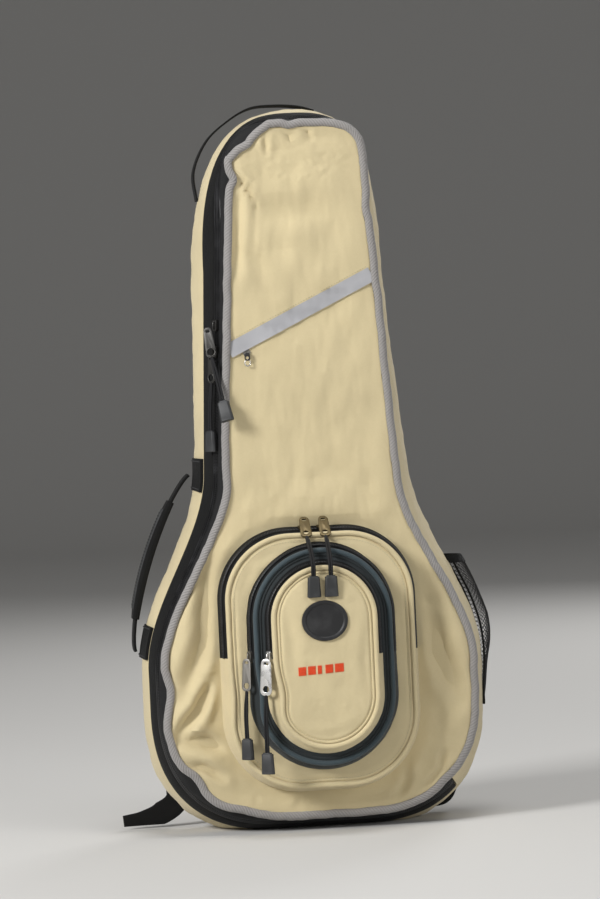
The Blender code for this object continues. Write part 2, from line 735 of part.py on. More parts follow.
def build_pocket_sliders():
    """Sliders on the three pocket zips, with tabs where the real ones have them."""
    inset, y, slope = band_place(large_back, LARGE_DEPTH, LARGE_SLIDER_SHARE)
    out = Vector((0.0, -slope.y, slope.x))
    for which, across in (("left", LARGE_SLIDER_LEFT), ("right", LARGE_SLIDER_RIGHT)):
        place = Vector((across, y, LARGE_HIGH_Z - inset)) + out * SLIDER_CLEAR
        slide = joint_empty("large_slider_" + which + "_track", place, large_tray)
        slider("large_slider_" + which, placed(place, Vector((1, 0, 0)), out), look_brass, slide)
        start = place + out * (SLIDER_T + TAB_T)
        tab_end = start + LARGE_TAB
        swing = joint_empty("large_cord_" + which + "_axis", start, slide)
        clear = small_back - SMALL_DEPTH - TIP_T / 2 - BADGE_T
        half_way = (tab_end.y + clear) / 2
        route = (tab_end, Vector((across * 0.95, half_way, tab_end.z - LARGE_CORD_BEND)),
                 Vector((across * 0.9, clear, tab_end.z - LARGE_CORD_KNEE)),
                 Vector((across * 0.9, clear, tab_end.z - LARGE_CORD_DROP)))
        cord_pull("large_cord_" + which, route, Vector((0, -1, 0)), swing, start)
    side_slider("middle", MIDDLE_HALF, middle_back, MIDDLE_DEPTH, MIDDLE_TAB_L, MIDDLE_TIP_Z,
                look_nickel, large_tray)
    side_slider("small", SMALL_HALF, small_back, SMALL_DEPTH, SMALL_TAB_L, SMALL_TIP_Z,
                look_silver, middle_tray)


def side_slider(which, half, back_y, depth, tab_l, tip_z, look, body):
    """A slider at the left end of a pocket zip, with its tab and cord hanging beside it."""
    inset, y, slope = band_place(back_y, depth, 0.5)
    out = Vector((-slope.x, -slope.y, 0.0))
    place = Vector((inset - half, y, ZIP_END_Z + SIDE_SLIDER_RISE)) + out * SLIDER_CLEAR
    slide = joint_empty(which + "_slider_track", place, body)
    frame = placed(place, Vector((0, 0, 1)), out)
    slider(which + "_slider", frame, look, slide, width=SIDE_SLIDER_W)
    pivot = place + out * (SLIDER_T + TAB_T / 2 + GAP) - Vector((0.0, 0.0, SLIDER_L * 0.1))
    swing = joint_empty(which + "_tab_axis", pivot, slide)
    lean = (out * 0.06 - Vector((0.0, 0.0, 1.0))).normalized()
    pull_tab(which + "_tab", pivot, lean, out, tab_l, look, swing)
    foot = pivot + lean * (tab_l + GAP + CORD_R)
    end = Vector((foot.x, foot.y, tip_z)) + out * CORD_SWAY * 0.6
    middle = foot.lerp(end, 0.5) + out * CORD_SWAY * 0.3
    cord_pull(which + "_cord", (foot, middle, end), out, swing)


# Document pocket on the neck

flap_along = (FLAP_HIGH - FLAP_LOW).normalized()
flap_up = Vector((-flap_along.z, 0.0, flap_along.x))
doc_surface = FRONT_Y - GAP
doc_place = (FLAP_LOW + flap_along * DOC_SLIDER_INSET - flap_up * (FLAP_W / 2 + GAP + DOC_SLIDER_W / 2)
             + Vector((0.0, doc_surface, 0.0)))
doc_slide = joint_empty("document_slider_track", doc_place, lid)


def build_document_zip():
    """The reflective flap with the small slider and pull that show under its left end."""
    outward = Vector((0, -1, 0))
    middle = (FLAP_LOW + FLAP_HIGH) / 2 + Vector((0.0, doc_surface, 0.0))
    half_length = (FLAP_HIGH - FLAP_LOW).length / 2
    sections = []
    for step in range(7):
        share = step / 3 - 1
        bow = FLAP_BOW * (1 - share * share)
        centre = middle + flap_along * half_length * share + flap_up * bow
        edge = Vector((0.0, 0.0, FLAP_W / 2 / flap_along.x))
        face = outward * FLAP_T
        sections.append([centre - edge, centre + edge, centre + edge + face, centre - edge + face])
    loft("reflective_flap", sections, look_reflective, lid)
    frame = placed(doc_place, flap_along, outward)
    slider("document_slider", frame, look_nickel, doc_slide, DOC_SLIDER_L, DOC_SLIDER_W,
           DOC_SLIDER_T)
    pivot = doc_place + outward * (DOC_SLIDER_T + TAB_T)
    swing = joint_empty("document_pull_axis", pivot, doc_slide)
    pull_tab("document_pull", pivot, Vector((0, 0, -1)), outward, DOC_PULL_L, look_rubber, swing,
             DOC_PULL_W)


# Side handle

def left_edge(z):
    """Where the shell's left side is at a height, on the widest outline."""
    loop = shell_loop(WIDEST_Y)[HALF_STEPS:]
    for here, there in zip(loop, loop[1:]):
        if here.z >= z >= there.z:
            share = (here.z - z) / (here.z - there.z)
            return here.lerp(there, share).x
    return loop[-1].x


def right_edge(z):
    return -left_edge(z)


handle_low = Vector((left_edge(HANDLE_LOW_Z) - HANDLE_CLEAR, HANDLE_Y, HANDLE_LOW_Z))
handle_high = Vector((left_edge(HANDLE_HIGH_Z) - HANDLE_CLEAR, HANDLE_Y, HANDLE_HIGH_Z))
handle_swing = joint_empty("side_handle_axis", (handle_low + handle_high) / 2)


def strip_section(centre, across, out, width, thick):
    """A flat webbing cross-section with its corners taken off."""
    corners = ((-1, -0.4), (-0.92, -1), (0.92, -1), (1, -0.4), (1, 0.4), (0.92, 1), (-0.92, 1),
               (-1, 0.4))
    return [centre + across * width / 2 * a + out * thick / 2 * b for a, b in corners]


def handle_section(share, width, thick):
    """A cross-section of the handle, square to the line that it swings about."""
    along = (handle_high - handle_low).normalized()
    out = Vector((0, 1, 0)).cross(along).normalized()
    if out.x > 0:
        out = -out
    rise = HANDLE_RISE * sin(pi * min(max(share, 0.0), 1.0)) ** 0.6 + HANDLE_T / 2
    centre = handle_low.lerp(handle_high, share) + out * rise
    return strip_section(centre, Vector((0, 1, 0)), out, width, thick)


def build_side_handle():
    grip = []
    for step in range(11):
        share = GRIP_SHARE + (1 - 2 * GRIP_SHARE) * step / 10
        swell = sin(pi * step / 10) ** 0.5 if 0 < step < 10 else 0.0
        width = HANDLE_WEB_W + (GRIP_W - HANDLE_WEB_W) * swell
        grip.append(handle_section(share, width, HANDLE_T * (0.75 + 0.25 * swell)))
    loft("side_handle_grip", grip, look_black, handle_swing)
    length = (handle_high - handle_low).length
    gap = GAP / length
    for name, start, end in (("handle_anchor_lower", 0.0, GRIP_SHARE - gap),
                             ("handle_anchor_upper", 1.0, 1 - GRIP_SHARE + gap)):
        riser = []
        for step in range(6):
            share = start + (end - start) * step / 5
            riser.append(handle_section(share, HANDLE_WEB_W, HANDLE_T * 0.5))
        loft(name, riser, look_black)


# Hang loop

# Shares of the head's half width to the left, and of its rise upward, that the loop follows
LOOP_ROUTE = ((0.917, 0.540), (0.935, 0.695), (0.796, 0.855), (0.574, 0.960), (0.352, 1.022),
              (0.111, 1.032), (-0.120, 1.022), (-0.280, 0.997))
loop_points = [Vector((-HEAD_HALF * across, LOOP_Y, HEAD_Z + HEAD_RISE * up))
               for across, up in LOOP_ROUTE]
loop_start = loop_points[0]
loop_end = loop_points[-1]
loop_swing = joint_empty("hang_loop_axis", (loop_start + loop_end) / 2)


def build_hang_loop():
    line = smooth_route(loop_points, 2)
    sections = []
    for index, centre in enumerate(line):
        along = (line[min(index + 1, len(line) - 1)] - line[max(index - 1, 0)]).normalized()
        out = Vector((0, 1, 0)).cross(along)
        sections.append(strip_section(centre, Vector((0, 1, 0)), out, LOOP_W, LOOP_T))
    loft("hang_loop", sections, look_black, loop_swing)


# Mesh pocket on the right side

def mesh_section(z, bulge, y_front, y_back, wall):
    """A strip across the side that bulges off the gusset and comes back to it."""
    steps = 8
    outer = []
    inner = []
    for step in range(steps + 1):
        share = step / steps
        y = y_front + (y_back - y_front) * share
        lift = bulge * sin(pi * share) ** 0.6 if 0 < step < steps else 0.0
        base = right_edge(z) + GAP
        outer.append(Vector((base + lift + wall, y, z)))
        inner.append(Vector((base + lift, y, z)))
    return outer + inner[::-1]


def build_mesh_pocket():
    rows = []
    for step in range(10):
        share = step / 9
        z = MESH_LOW_Z + (MESH_HIGH_Z - BINDING_H - GAP - MESH_LOW_Z) * share
        bulge = MESH_BULGE * min(1.0, 0.05 + 1.6 * share)
        rows.append(mesh_section(z, bulge, MESH_FRONT_Y, MESH_BACK_Y, MESH_T))
    loft("mesh_pocket", rows, look_black)
    binding = []
    for step in range(3):
        z = MESH_HIGH_Z - BINDING_H * (1 - step / 2)
        binding.append(mesh_section(z, MESH_BULGE, MESH_FRONT_Y, MESH_BACK_Y, MESH_T * 2))
    loft("mesh_pocket_binding", binding, look_black)


# Backpack straps on the back

strap_front = BACK_Y + PIPING_R + GAP
strap_swings = {}
for hand, side in (("left", -1), ("right", 1)):
    top = Vector((side * STRAP_TOP_X, strap_front + PAD_T / 2, STRAP_TOP_Z))
    strap_swings[hand] = joint_empty("strap_" + hand + "_axis", top)
lock_swings = {}
for hand, side in (("left", -1), ("right", 1)):
    place = Vector((side * LOCK_X, strap_front + LOCK_T, LOCK_Z + LOCK_H / 2))
    lock_swings[hand] = joint_empty("ladder_lock_" + hand + "_axis", place)


def build_straps():
    for hand, side in (("left", -1), ("right", 1)):
        build_pad(hand, side)
        build_ladder_lock(hand, side)
        build_strap_webbing(hand, side)
    sections = []
    y = BACK_Y + GAP
    for rise, wide, thick in ((0.0, 1.0, 1.0), (0.75, 0.96, 0.7), (1.0, 0.7, 0.4)):
        half = YOKE_W / 2 * wide
        height = STRAP_TOP_Z + YOKE_H * rise
        back = y + YOKE_T * thick
        sections.append([Vector((-half, y, height)), Vector((half, y, height)),
                         Vector((half, back, height)), Vector((-half, back, height))])
    loft("strap_yoke", sections, look_tan)


def build_pad(hand, side):
    """A foam-filled shoulder pad, narrow at both ends and bowed a little outward."""
    sections = []
    steps = 12
    high = STRAP_TOP_Z - SEAM_GAP
    for step in range(steps + 1):
        share = step / steps
        z = high + (PAD_LOW_Z - high) * share
        bow = PAD_BOW * sin(pi * share)
        x = side * (STRAP_TOP_X + (PAD_LOW_X - STRAP_TOP_X) * share - bow)
        ease = min(1.0, 0.72 + 1.4 * share, 0.55 + 2.2 * (1 - share))
        thick = PAD_T * min(1.0, 0.5 + 3 * share, 0.5 + 3 * (1 - share))
        centre = Vector((x, strap_front + PAD_T / 2, z))
        sections.append(strip_section(centre, Vector((1, 0, 0)), Vector((0, 1, 0)),
                                      PAD_W * ease, thick))
    loft("strap_pad_" + hand, sections, look_black, strap_swings[hand])


def build_ladder_lock(hand, side):
    """A moulded ladder lock: a frame with two slots for webbing."""
    name = "ladder_lock_" + hand
    front = strap_front + STRAP_WEB_T + 2 * GAP
    bm = bmesh.new()
    size = Matrix.Diagonal((LOCK_W, LOCK_T, LOCK_H, 1.0))
    centre = Vector((side * LOCK_X, front + LOCK_T / 2, LOCK_Z))
    bmesh.ops.create_cube(bm, size=1.0, matrix=Matrix.Translation(centre) @ size)
    mesh = bpy.data.meshes.new(name)
    bm.to_mesh(mesh)
    bm.free()
    lock = bpy.data.objects.new(name, mesh)
    bpy.context.scene.collection.objects.link(lock)
    lock.data.materials.append(material(name, BLACK, 0.4, 0.0))
    for row in (-1, 1):
        slot = bmesh.new()
        size = Matrix.Diagonal((STRAP_WEB_W + LOCK_SLOT_EASE, LOCK_T * 2, LOCK_H * LOCK_SLOT_SHARE, 1.0))
        place = centre + Vector((0.0, 0.0, row * LOCK_H * LOCK_SLOT_SHARE))
        bmesh.ops.create_cube(slot, size=1.0, matrix=Matrix.Translation(place) @ size)
        cutter_mesh = bpy.data.meshes.new(name + "_slot")
        slot.to_mesh(cutter_mesh)
        slot.free()
        cutter = bpy.data.objects.new(name + "_slot_" + str(row + 2), cutter_mesh)
        bpy.context.scene.collection.objects.link(cutter)
        cutter.hide_render = True
        cutter.display_type = "WIRE"
        cut = lock.modifiers.new("slot", "BOOLEAN")
        cut.operation = "DIFFERENCE"
        cut.object = cutter
    attach(lock, lock_swings[hand])


def build_strap_webbing(hand, side):
    """Webbing from the pad's end down behind the ladder lock, with its loose tail."""
    y = strap_front + STRAP_WEB_T / 2
    start = Vector((side * PAD_LOW_X, y, PAD_LOW_Z - 2 * GAP))
    rest = LEFT_WEB if hand == "left" else RIGHT_WEB
    route = [start] + [Vector((across, y + off, up)) for across, off, up in rest]
    line = smooth_route(route, 4)
    sections = []
    for index, centre in enumerate(line):
        along = (line[min(index + 1, len(line) - 1)] - line[max(index - 1, 0)]).normalized()
        out = Vector((0, 1, 0))
        out = (out - along * out.dot(along)).normalized()
        across = along.cross(out)
        half = STRAP_WEB_W
        if centre.z - STRAP_WEB_W / 2 < STRAP_LOW_EDGE:
            half = 2 * (centre.z - STRAP_LOW_EDGE) / max(abs(across.z), 0.2)
            half = min(half, STRAP_WEB_W)
        sections.append(strip_section(centre, across, out, half, STRAP_WEB_T))
    loft("strap_webbing_" + hand, sections, look_black)


# Inside: neck cradle and neck strap

lining_front_y = BACK_Y - PIPING_R - FOAM_T - LINING_T - 3 * GAP
cradle_face = lining_front_y - CRADLE_T
neck_strap_swing = joint_empty("neck_strap_axis",
                               Vector((NECK_STRAP_HALF, cradle_face - GAP, CRADLE_Z)))


def build_neck_cradle():
    """A covered foam block with a notch for the neck, and the strap that closes over it."""
    half = CRADLE_W / 2
    notch = CRADLE_NOTCH_W / 2
    profile = ((-half, lining_front_y), (half, lining_front_y), (half, cradle_face),
               (notch, cradle_face), (notch * 0.8, cradle_face + CRADLE_NOTCH_D * 0.8),
               (notch * 0.4, cradle_face + CRADLE_NOTCH_D),
               (-notch * 0.4, cradle_face + CRADLE_NOTCH_D),
               (-notch * 0.8, cradle_face + CRADLE_NOTCH_D * 0.8), (-notch, cradle_face),
               (-half, cradle_face))
    sections = []
    for height in (CRADLE_Z - CRADLE_H / 2, CRADLE_Z + CRADLE_H / 2):
        sections.append([Vector((x, y, height)) for x, y in profile])
    loft("neck_cradle", sections, look_foam)
    strap = []
    y = cradle_face - GAP - NECK_STRAP_T / 2
    for x in (-NECK_STRAP_HALF, 0.0, NECK_STRAP_HALF):
        strap.append(strip_section(Vector((x, y, CRADLE_Z)), Vector((0, 0, 1)), Vector((0, 1, 0)),
                                   NECK_STRAP_W, NECK_STRAP_T))
    loft("neck_strap", strap, look_black, neck_strap_swing)


build_rear_shell()
build_lid_shell()
build_pockets()
build_main_sliders()
build_pocket_sliders()
build_document_zip()
build_side_handle()
build_hang_loop()
build_mesh_pocket()
build_straps()
build_neck_cradle()
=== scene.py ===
"""Looks of a padded mandolin gig bag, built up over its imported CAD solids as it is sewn.

Metres, +Z up. The front faces -Y, and the origin is the middle of the flat that it stands on.
"""
import bpy
import bmesh
import numpy as np
from math import cos, pi, radians, sin
from mathutils import Matrix, Vector, noise


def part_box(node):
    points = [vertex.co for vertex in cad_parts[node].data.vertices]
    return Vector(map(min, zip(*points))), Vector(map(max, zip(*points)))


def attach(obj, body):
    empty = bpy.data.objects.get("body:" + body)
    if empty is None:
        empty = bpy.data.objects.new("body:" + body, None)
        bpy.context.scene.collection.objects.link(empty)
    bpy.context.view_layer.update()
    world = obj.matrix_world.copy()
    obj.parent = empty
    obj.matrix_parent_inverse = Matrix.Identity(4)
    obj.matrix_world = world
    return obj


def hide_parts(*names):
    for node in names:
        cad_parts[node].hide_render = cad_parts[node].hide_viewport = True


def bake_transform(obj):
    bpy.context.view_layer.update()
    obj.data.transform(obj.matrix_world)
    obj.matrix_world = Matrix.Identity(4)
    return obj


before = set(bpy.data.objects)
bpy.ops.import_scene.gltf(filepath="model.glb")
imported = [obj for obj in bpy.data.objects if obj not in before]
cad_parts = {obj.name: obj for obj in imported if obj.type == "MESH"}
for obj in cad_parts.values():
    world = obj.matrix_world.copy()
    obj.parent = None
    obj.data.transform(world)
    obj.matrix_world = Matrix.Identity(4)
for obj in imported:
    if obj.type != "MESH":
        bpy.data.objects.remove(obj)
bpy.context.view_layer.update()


# Studio: a photographer's pale floor, soft light from both sides and a long lens.
# The bag is seen a little from its own left, and the picture leans with the bag.
VIEW_AZIMUTH = radians(-6.5)
VIEW_DISTANCE = 4.0
VIEW_HEIGHT = 0.47
AIM = Vector((-0.004, 0.0, 0.399))
VIEW_ROLL = radians(2.7)
LENS = 150.8
STUDIO_GREY = (0.60, 0.59, 0.57)

eye = Vector((VIEW_DISTANCE * sin(VIEW_AZIMUTH), -VIEW_DISTANCE * cos(VIEW_AZIMUTH), VIEW_HEIGHT))
camera = bpy.data.objects.new("camera", bpy.data.cameras.new("camera"))
camera.data.lens = LENS
camera.data.sensor_width = 36.0
camera.data.clip_end = 50.0
camera.location = eye
look = (AIM - eye).to_track_quat("-Z", "Y").to_matrix().to_4x4()
camera.matrix_world = Matrix.Translation(eye) @ look @ Matrix.Rotation(-VIEW_ROLL, 4, "Z")
bpy.context.scene.collection.objects.link(camera)
bpy.context.scene.camera = camera


def studio_material(name, colour, roughness):
    """A plain painted finish for what isn't part of the bag."""
    paint = bpy.data.materials.new(name)
    paint.use_nodes = True
    shader = paint.node_tree.nodes["Principled BSDF"]
    shader.inputs["Base Color"].default_value = (*colour, 1.0)
    shader.inputs["Roughness"].default_value = roughness
    return paint


def new_piece(name, points, faces):
    """A mesh object in the scene, from its points and faces."""
    mesh = bpy.data.meshes.new(name)
    mesh.from_pydata([tuple(point) for point in points], [], faces)
    piece = bpy.data.objects.new(name, mesh)
    bpy.context.scene.collection.objects.link(piece)
    return piece


bend = [radians(90) * step / 24 for step in range(25)]
sweep_line = [(-20.0, 0.0), *((7.0 + 5.0 * sin(turn), 5.0 - 5.0 * cos(turn)) for turn in bend),
              (12.0, 24.0)]
sweep = new_piece("studio_sweep",
                  [(side, y, z - 0.0005) for y, z in sweep_line for side in (-20.0, 20.0)],
                  [(row, row + 1, row + 3, row + 2)
                   for row in range(0, len(sweep_line) * 2 - 2, 2)])
sweep.data.shade_smooth()
sweep.data.materials.append(studio_material("sweep_paint", STUDIO_GREY, 0.9))


def soft_light(name, place, target, size, power):
    """A square softbox that faces a point on the bag."""
    lamp = bpy.data.objects.new(name, bpy.data.lights.new(name, "AREA"))
    lamp.data.size = size
    lamp.data.energy = power
    lamp.location = place
    turn = (Vector(target) - Vector(place)).to_track_quat("-Z", "Y")
    lamp.rotation_euler = turn.to_euler()
    bpy.context.scene.collection.objects.link(lamp)


soft_light("key_light", (-2.8, -2.1, 2.0), (0.0, 0.0, 0.4), 1.0, 138)
soft_light("fill_light", (2.4, -2.8, 1.2), (0.0, 0.0, 0.4), 1.4, 32)
soft_light("top_light", (0.2, -0.6, 3.2), (0.0, 0.0, 0.4), 1.2, 34)
soft_light("back_light", (1.6, 3.0, 2.0), (0.0, 0.0, 0.4), 1.2, 36)
world = bpy.data.worlds.new("studio_air")
world.use_nodes = True
world.node_tree.nodes["Background"].inputs["Color"].default_value = (1.0, 1.0, 1.0, 1.0)
world.node_tree.nodes["Background"].inputs["Strength"].default_value = 0.14
bpy.context.scene.world = world
bpy.context.scene.view_settings.view_transform = "Standard"


# Back of the bag: a flat panel of fine tan nylon over foam, and the deep tan gusset that runs
# round it. Both are cut to the bag's outline, which the pattern maker draws once as two lines,
# one at the widest place and one at the front panel, and blends between.
FRONT_Y = -0.052
BACK_Y = 0.052
WIDEST_Y = 0.025
SPLIT_Y = -0.036
TAPE_BACK_Y = -0.010
FRONT_ROUNDING = 1.8
BACK_INSET = 0.008
PIPING_R = 0.004
COVER_T = 0.003
LOOP_POINTS = 400
FINE_POINTS = 4000
LINE_NUDGE = 0.0015
INWARD_STEP = 0.004
SPINE_STEP = 0.010
ON_SPINE = 1e-6
WEAVE_PITCH = 0.0007
TAN = (0.655, 0.555, 0.335)
TAN_DEEP = (0.585, 0.485, 0.285)


def half_line(base_half, base_z, bout_half, bout_z, bout_n, foot_z, top_z, neck_half, head_half,
              head_z, head_n, high_z):
    """Right half of an outline, base to top, with the same pattern rule for both lines."""
    line = []
    for turn in np.linspace(0, pi / 2, 60):
        line.append((base_half + (bout_half - base_half) * sin(turn) ** (2 / bout_n),
                     bout_z - (bout_z - base_z) * max(cos(turn), 0.0) ** (2 / bout_n)))
    for share in np.linspace(0, 1, 50)[1:]:
        ease = share * share * (3 - 2 * share)
        line.append((bout_half + (neck_half - bout_half) * ease, foot_z + (top_z - foot_z) * share))
    for share in np.linspace(0, 1, 24)[1:]:
        line.append((neck_half + (head_half - neck_half) * share, top_z + (head_z - top_z) * share))
    for turn in np.linspace(0, pi / 2, 60)[1:]:
        line.append((head_half * max(cos(turn), 0.0) ** (2 / head_n),
                     head_z + (high_z - head_z) * sin(turn) ** (2 / head_n)))
    return line


def walk(points):
    """Distance walked along a row of points, at each of them."""
    return np.concatenate([[0.0], np.cumsum(np.linalg.norm(np.diff(points, axis=0), axis=1))])


def unit(rows):
    """Vectors scaled to a length of one."""
    return rows / np.maximum(np.linalg.norm(rows, axis=-1, keepdims=True), 1e-9)


def heading(line, ring=False):
    """Unit vectors along a row of points, which may close into a ring."""
    return unit(np.roll(line, -1, axis=0) - np.roll(line, 1, axis=0) if ring
                else np.gradient(line, axis=0))


def seam_free(share, power=1.0):
    """How free cloth is between two seams: not at all on them, and fully half way."""
    return max(sin(pi * share), 0.0) ** power


def point_at(place, way, rows):
    """Points of a row at distances walked along it."""
    return np.stack([np.interp(place, way, part) for part in rows.T], axis=-1)


def whole_line(right, left):
    """A closed outline from its right half and the mirror image of its left one."""
    return np.array(right + [(-across, up) for across, up in left[-2::-1]])


OUTLINE_FOOT = (0.050, -0.006, 0.181, 0.130, 2.4, 0.175, 0.385)
wide_half = half_line(*OUTLINE_FOOT, 0.114, 0.108, 0.560, 2.4, 0.760)
sagged_half = half_line(*OUTLINE_FOOT, 0.111, 0.094, 0.560, 2.8, 0.760)
slim_half = half_line(0.040, 0.016, 0.164, 0.142, 2.4, 0.170, 0.375, 0.0905, 0.0715, 0.680, 4.0,
                      0.742)
wide_line = whole_line(sagged_half, wide_half)
slim_line = whole_line(slim_half, slim_half)
walked_round = walk(np.vstack([wide_line, wide_line[:1]]))
PERIMETER = walked_round[-1]


def line_at(line, share):
    """Points of an outline at shares of the way round, from the base up the right side."""
    return point_at(np.mod(share, 1.0) * PERIMETER, walked_round, np.vstack([line, line[:1]]))


def at_depth(line, y):
    """Rows of (x, z) moved to a depth."""
    return np.stack([line[:, 0], np.zeros(len(line)) + y, line[:, 1]], axis=1)


def shell_ring(shares, y, inset=0.0, floor=0.0):
    """The shell's surface at one depth, at shares of the way round; inset goes inward."""
    blend, back = 1.0, 0.0
    if y <= WIDEST_Y:
        blend = 1 - ((WIDEST_Y - y) / (WIDEST_Y - FRONT_Y)) ** FRONT_ROUNDING
    else:
        back = BACK_INSET * ((y - WIDEST_Y) / (BACK_Y - WIDEST_Y)) ** 2

    def flat(at):
        slim = line_at(slim_line, at)
        return slim + (line_at(wide_line, at) - slim) * blend
    along = unit(flat(shares + LINE_NUDGE) - flat(shares - LINE_NUDGE))
    points = flat(shares) + np.stack([-along[:, 1], along[:, 0]], axis=1) * (back + inset)
    points[:, 1] = np.maximum(points[:, 1], floor + inset)
    return at_depth(points, y)


def make_active(piece):
    """Select one piece alone for the next operator."""
    bpy.ops.object.select_all(action="DESELECT")
    piece.select_set(True)
    bpy.context.view_layer.objects.active = piece


def face_outward(piece, smooth=55):
    """Turn a closed piece's faces outward and soften all but its sharp edges."""
    shape = bmesh.new()
    shape.from_mesh(piece.data)
    bmesh.ops.recalc_face_normals(shape, faces=shape.faces)
    shape.to_mesh(piece.data)
    shape.free()
    make_active(piece)
    bpy.ops.object.shade_smooth_by_angle(angle=radians(smooth))


def dress(piece, material, body=None, node=None):
    """Give a piece its material, attach it to its body, and hide the CAD node it replaces."""
    piece.data.materials.append(material)
    if body:
        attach(piece, body)
    if node:
        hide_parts(node)
    return piece


def skin(name, sections, ring=False, smooth=55):
    """Skin a row of equal cross-sections and lay a map on it that is measured in metres."""
    rows = np.asarray(sections, float)
    count, sides = rows.shape[:2]
    ahead = np.linalg.norm(np.roll(rows, -1, axis=0) - rows, axis=2).mean(axis=1)
    u = np.concatenate([[0.0], np.cumsum(ahead)])
    around = np.linalg.norm(np.roll(rows, -1, axis=1) - rows, axis=2).mean(axis=0)
    v = np.concatenate([[0.0], np.cumsum(around)])
    faces = ring_faces(count, sides, ring)
    places = [((u[row], v[side]), (u[row], v[side + 1]), (u[row + 1], v[side + 1]),
               (u[row + 1], v[side]))
              for row in range(count if ring else count - 1) for side in range(sides)]
    if not ring:
        for row in (0, count - 1):
            faces.append([row * sides + side for side in range(sides)])
            places.append([(point[0], point[2]) for point in rows[row]])
    piece = new_piece(name, rows.reshape(-1, 3), faces)
    layer = piece.data.uv_layers.new(name="metres")
    layer.data.foreach_set("uv", [value for face in places for place in face for value in place])
    face_outward(piece, smooth)
    return piece


def ring_faces(count, sides, closed):
    """Faces between equal rings of points, the last of which may join the first."""
    faces = []
    for row in range(count if closed else count - 1):
        here, there = row * sides, (row + 1) % count * sides
        for side in range(sides):
            after = (side + 1) % sides
            faces.append((here + side, here + after, there + after, there + side))
    return faces


def ripple(points, size, height, seed):
    """Soft unevenness of sewn cloth: how far each point is pushed out of the surface."""
    return np.array([noise.fractal(Vector(point) / size + Vector((seed, seed, seed)), 0.7, 2.1, 3)
                     for point in points]) * height


def gusset(name, shares, depths, wall, ring, seed, height=0.0010, floor=0.0, puff=0.0,
           inset=0.0):
    """A strip of cloth round the shell: outer skin from front to back, inner skin back again."""
    outer = []
    for y in depths:
        ringed = shell_ring(shares, y, inset, floor)
        outward = unit(ringed - shell_ring(shares, y, inset + 0.01, floor))
        push = puff + ripple(ringed, 0.045, height, seed) + ripple(ringed, 0.012, height * 0.35,
                                                                   seed + 3)
        push = push * seam_free((y - depths[0]) / (depths[-1] - depths[0]), 0.7)
        ringed = ringed + outward * push[:, None]
        ringed[:, 2] = np.maximum(ringed[:, 2], floor)
        outer.append(ringed)
    inner = [shell_ring(shares, y, inset + wall, floor) for y in depths[::-1]]
    return skin(name, np.stack(outer + inner, axis=1), ring=ring)


class Wire:
    """A value inside a node tree. Arithmetic on it adds Math nodes, and its methods others."""

    def __init__(self, tree, socket):
        self.tree = tree
        self.socket = socket

    def add(self, kind, values, out=0, **settings):
        """One more node, with its inputs by name or number; returns one of its outputs."""
        node = self.tree.nodes.new(kind)
        for label, setting in settings.items():
            setattr(node, label, setting)
        for label, value in values.items():
            plug(self.tree, value, node.inputs[label])
        return Wire(self.tree, node.outputs[out])

    def math(self, operation, *values):
        return self.add("ShaderNodeMath", dict(enumerate(values)), operation=operation)

    def __add__(self, other):
        return self.math("ADD", self, other)

    def __sub__(self, other):
        return self.math("SUBTRACT", self, other)

    def __rsub__(self, other):
        return self.math("SUBTRACT", other, self)

    def __mul__(self, other):
        return self.math("MULTIPLY", self, other)

    def __truediv__(self, other):
        return self.math("DIVIDE", self, other)

    def times_plus(self, share, more):
        return self.math("MULTIPLY_ADD", self, share, more)

    def each(self, operation):
        return self.math(operation, self)

    def hump(self):
        """A round hump over every unit of length."""
        return (self * pi).each("SINE").each("ABSOLUTE")

    def part(self, axis):
        return self.add("ShaderNodeSeparateXYZ", {0: self}, axis)

    def noise(self, scale, detail):
        return self.add("ShaderNodeTexNoise", {"Scale": scale, "Detail": detail, "Vector": self},
                        "Fac")

    def cells(self, scale):
        return self.add("ShaderNodeTexVoronoi", {"Scale": scale, "Vector": self}, "Distance")

    def ramp(self, low, high, top=1.0):
        """From nought at the low value to the top at the high one."""
        return self.add("ShaderNodeMapRange", {"Value": self, "From Min": low, "From Max": high,
                                               "To Max": top})

    def mix(self, first, second):
        """A colour between two, this value being the second one's share."""
        return self.add("ShaderNodeMix", {0: self, 6: first, 7: second}, 2, data_type="RGBA")

    def tinted(self, tint):
        """This colour multiplied by another."""
        return self.add("ShaderNodeMix", {0: 1.0, 6: self, 7: tint}, 2, data_type="RGBA",
                        blend_type="MULTIPLY")


def plug(tree, value, socket):
    """Feed a socket with a wire, a colour or a number."""
    if isinstance(value, Wire):
        tree.links.new(value.socket, socket)
    else:
        socket.default_value = (*value, 1.0) if isinstance(value, tuple) else value


def make_group(name, inputs, outputs, build):
    """A node group: build takes a wire for each input and returns one for each output."""
    tree = bpy.data.node_groups.new(name, "ShaderNodeTree")
    kinds = {type(None): "NodeSocketVector", tuple: "NodeSocketColor", float: "NodeSocketFloat"}
    for label, value in inputs.items():
        socket = tree.interface.new_socket(name=label, in_out="INPUT",
                                           socket_type=kinds[type(value)])
        if value is not None:
            plug(tree, value, socket)
    for label in outputs:
        tree.interface.new_socket(name=label, in_out="OUTPUT",
                                  socket_type=kinds[tuple if label == "Colour" else float])
    given = tree.nodes.new("NodeGroupInput").outputs[:len(inputs)]
    made = tree.nodes.new("NodeGroupOutput")
    for value, socket in zip(build(*(Wire(tree, socket) for socket in given)), made.inputs):
        plug(tree, value, socket)
    return tree


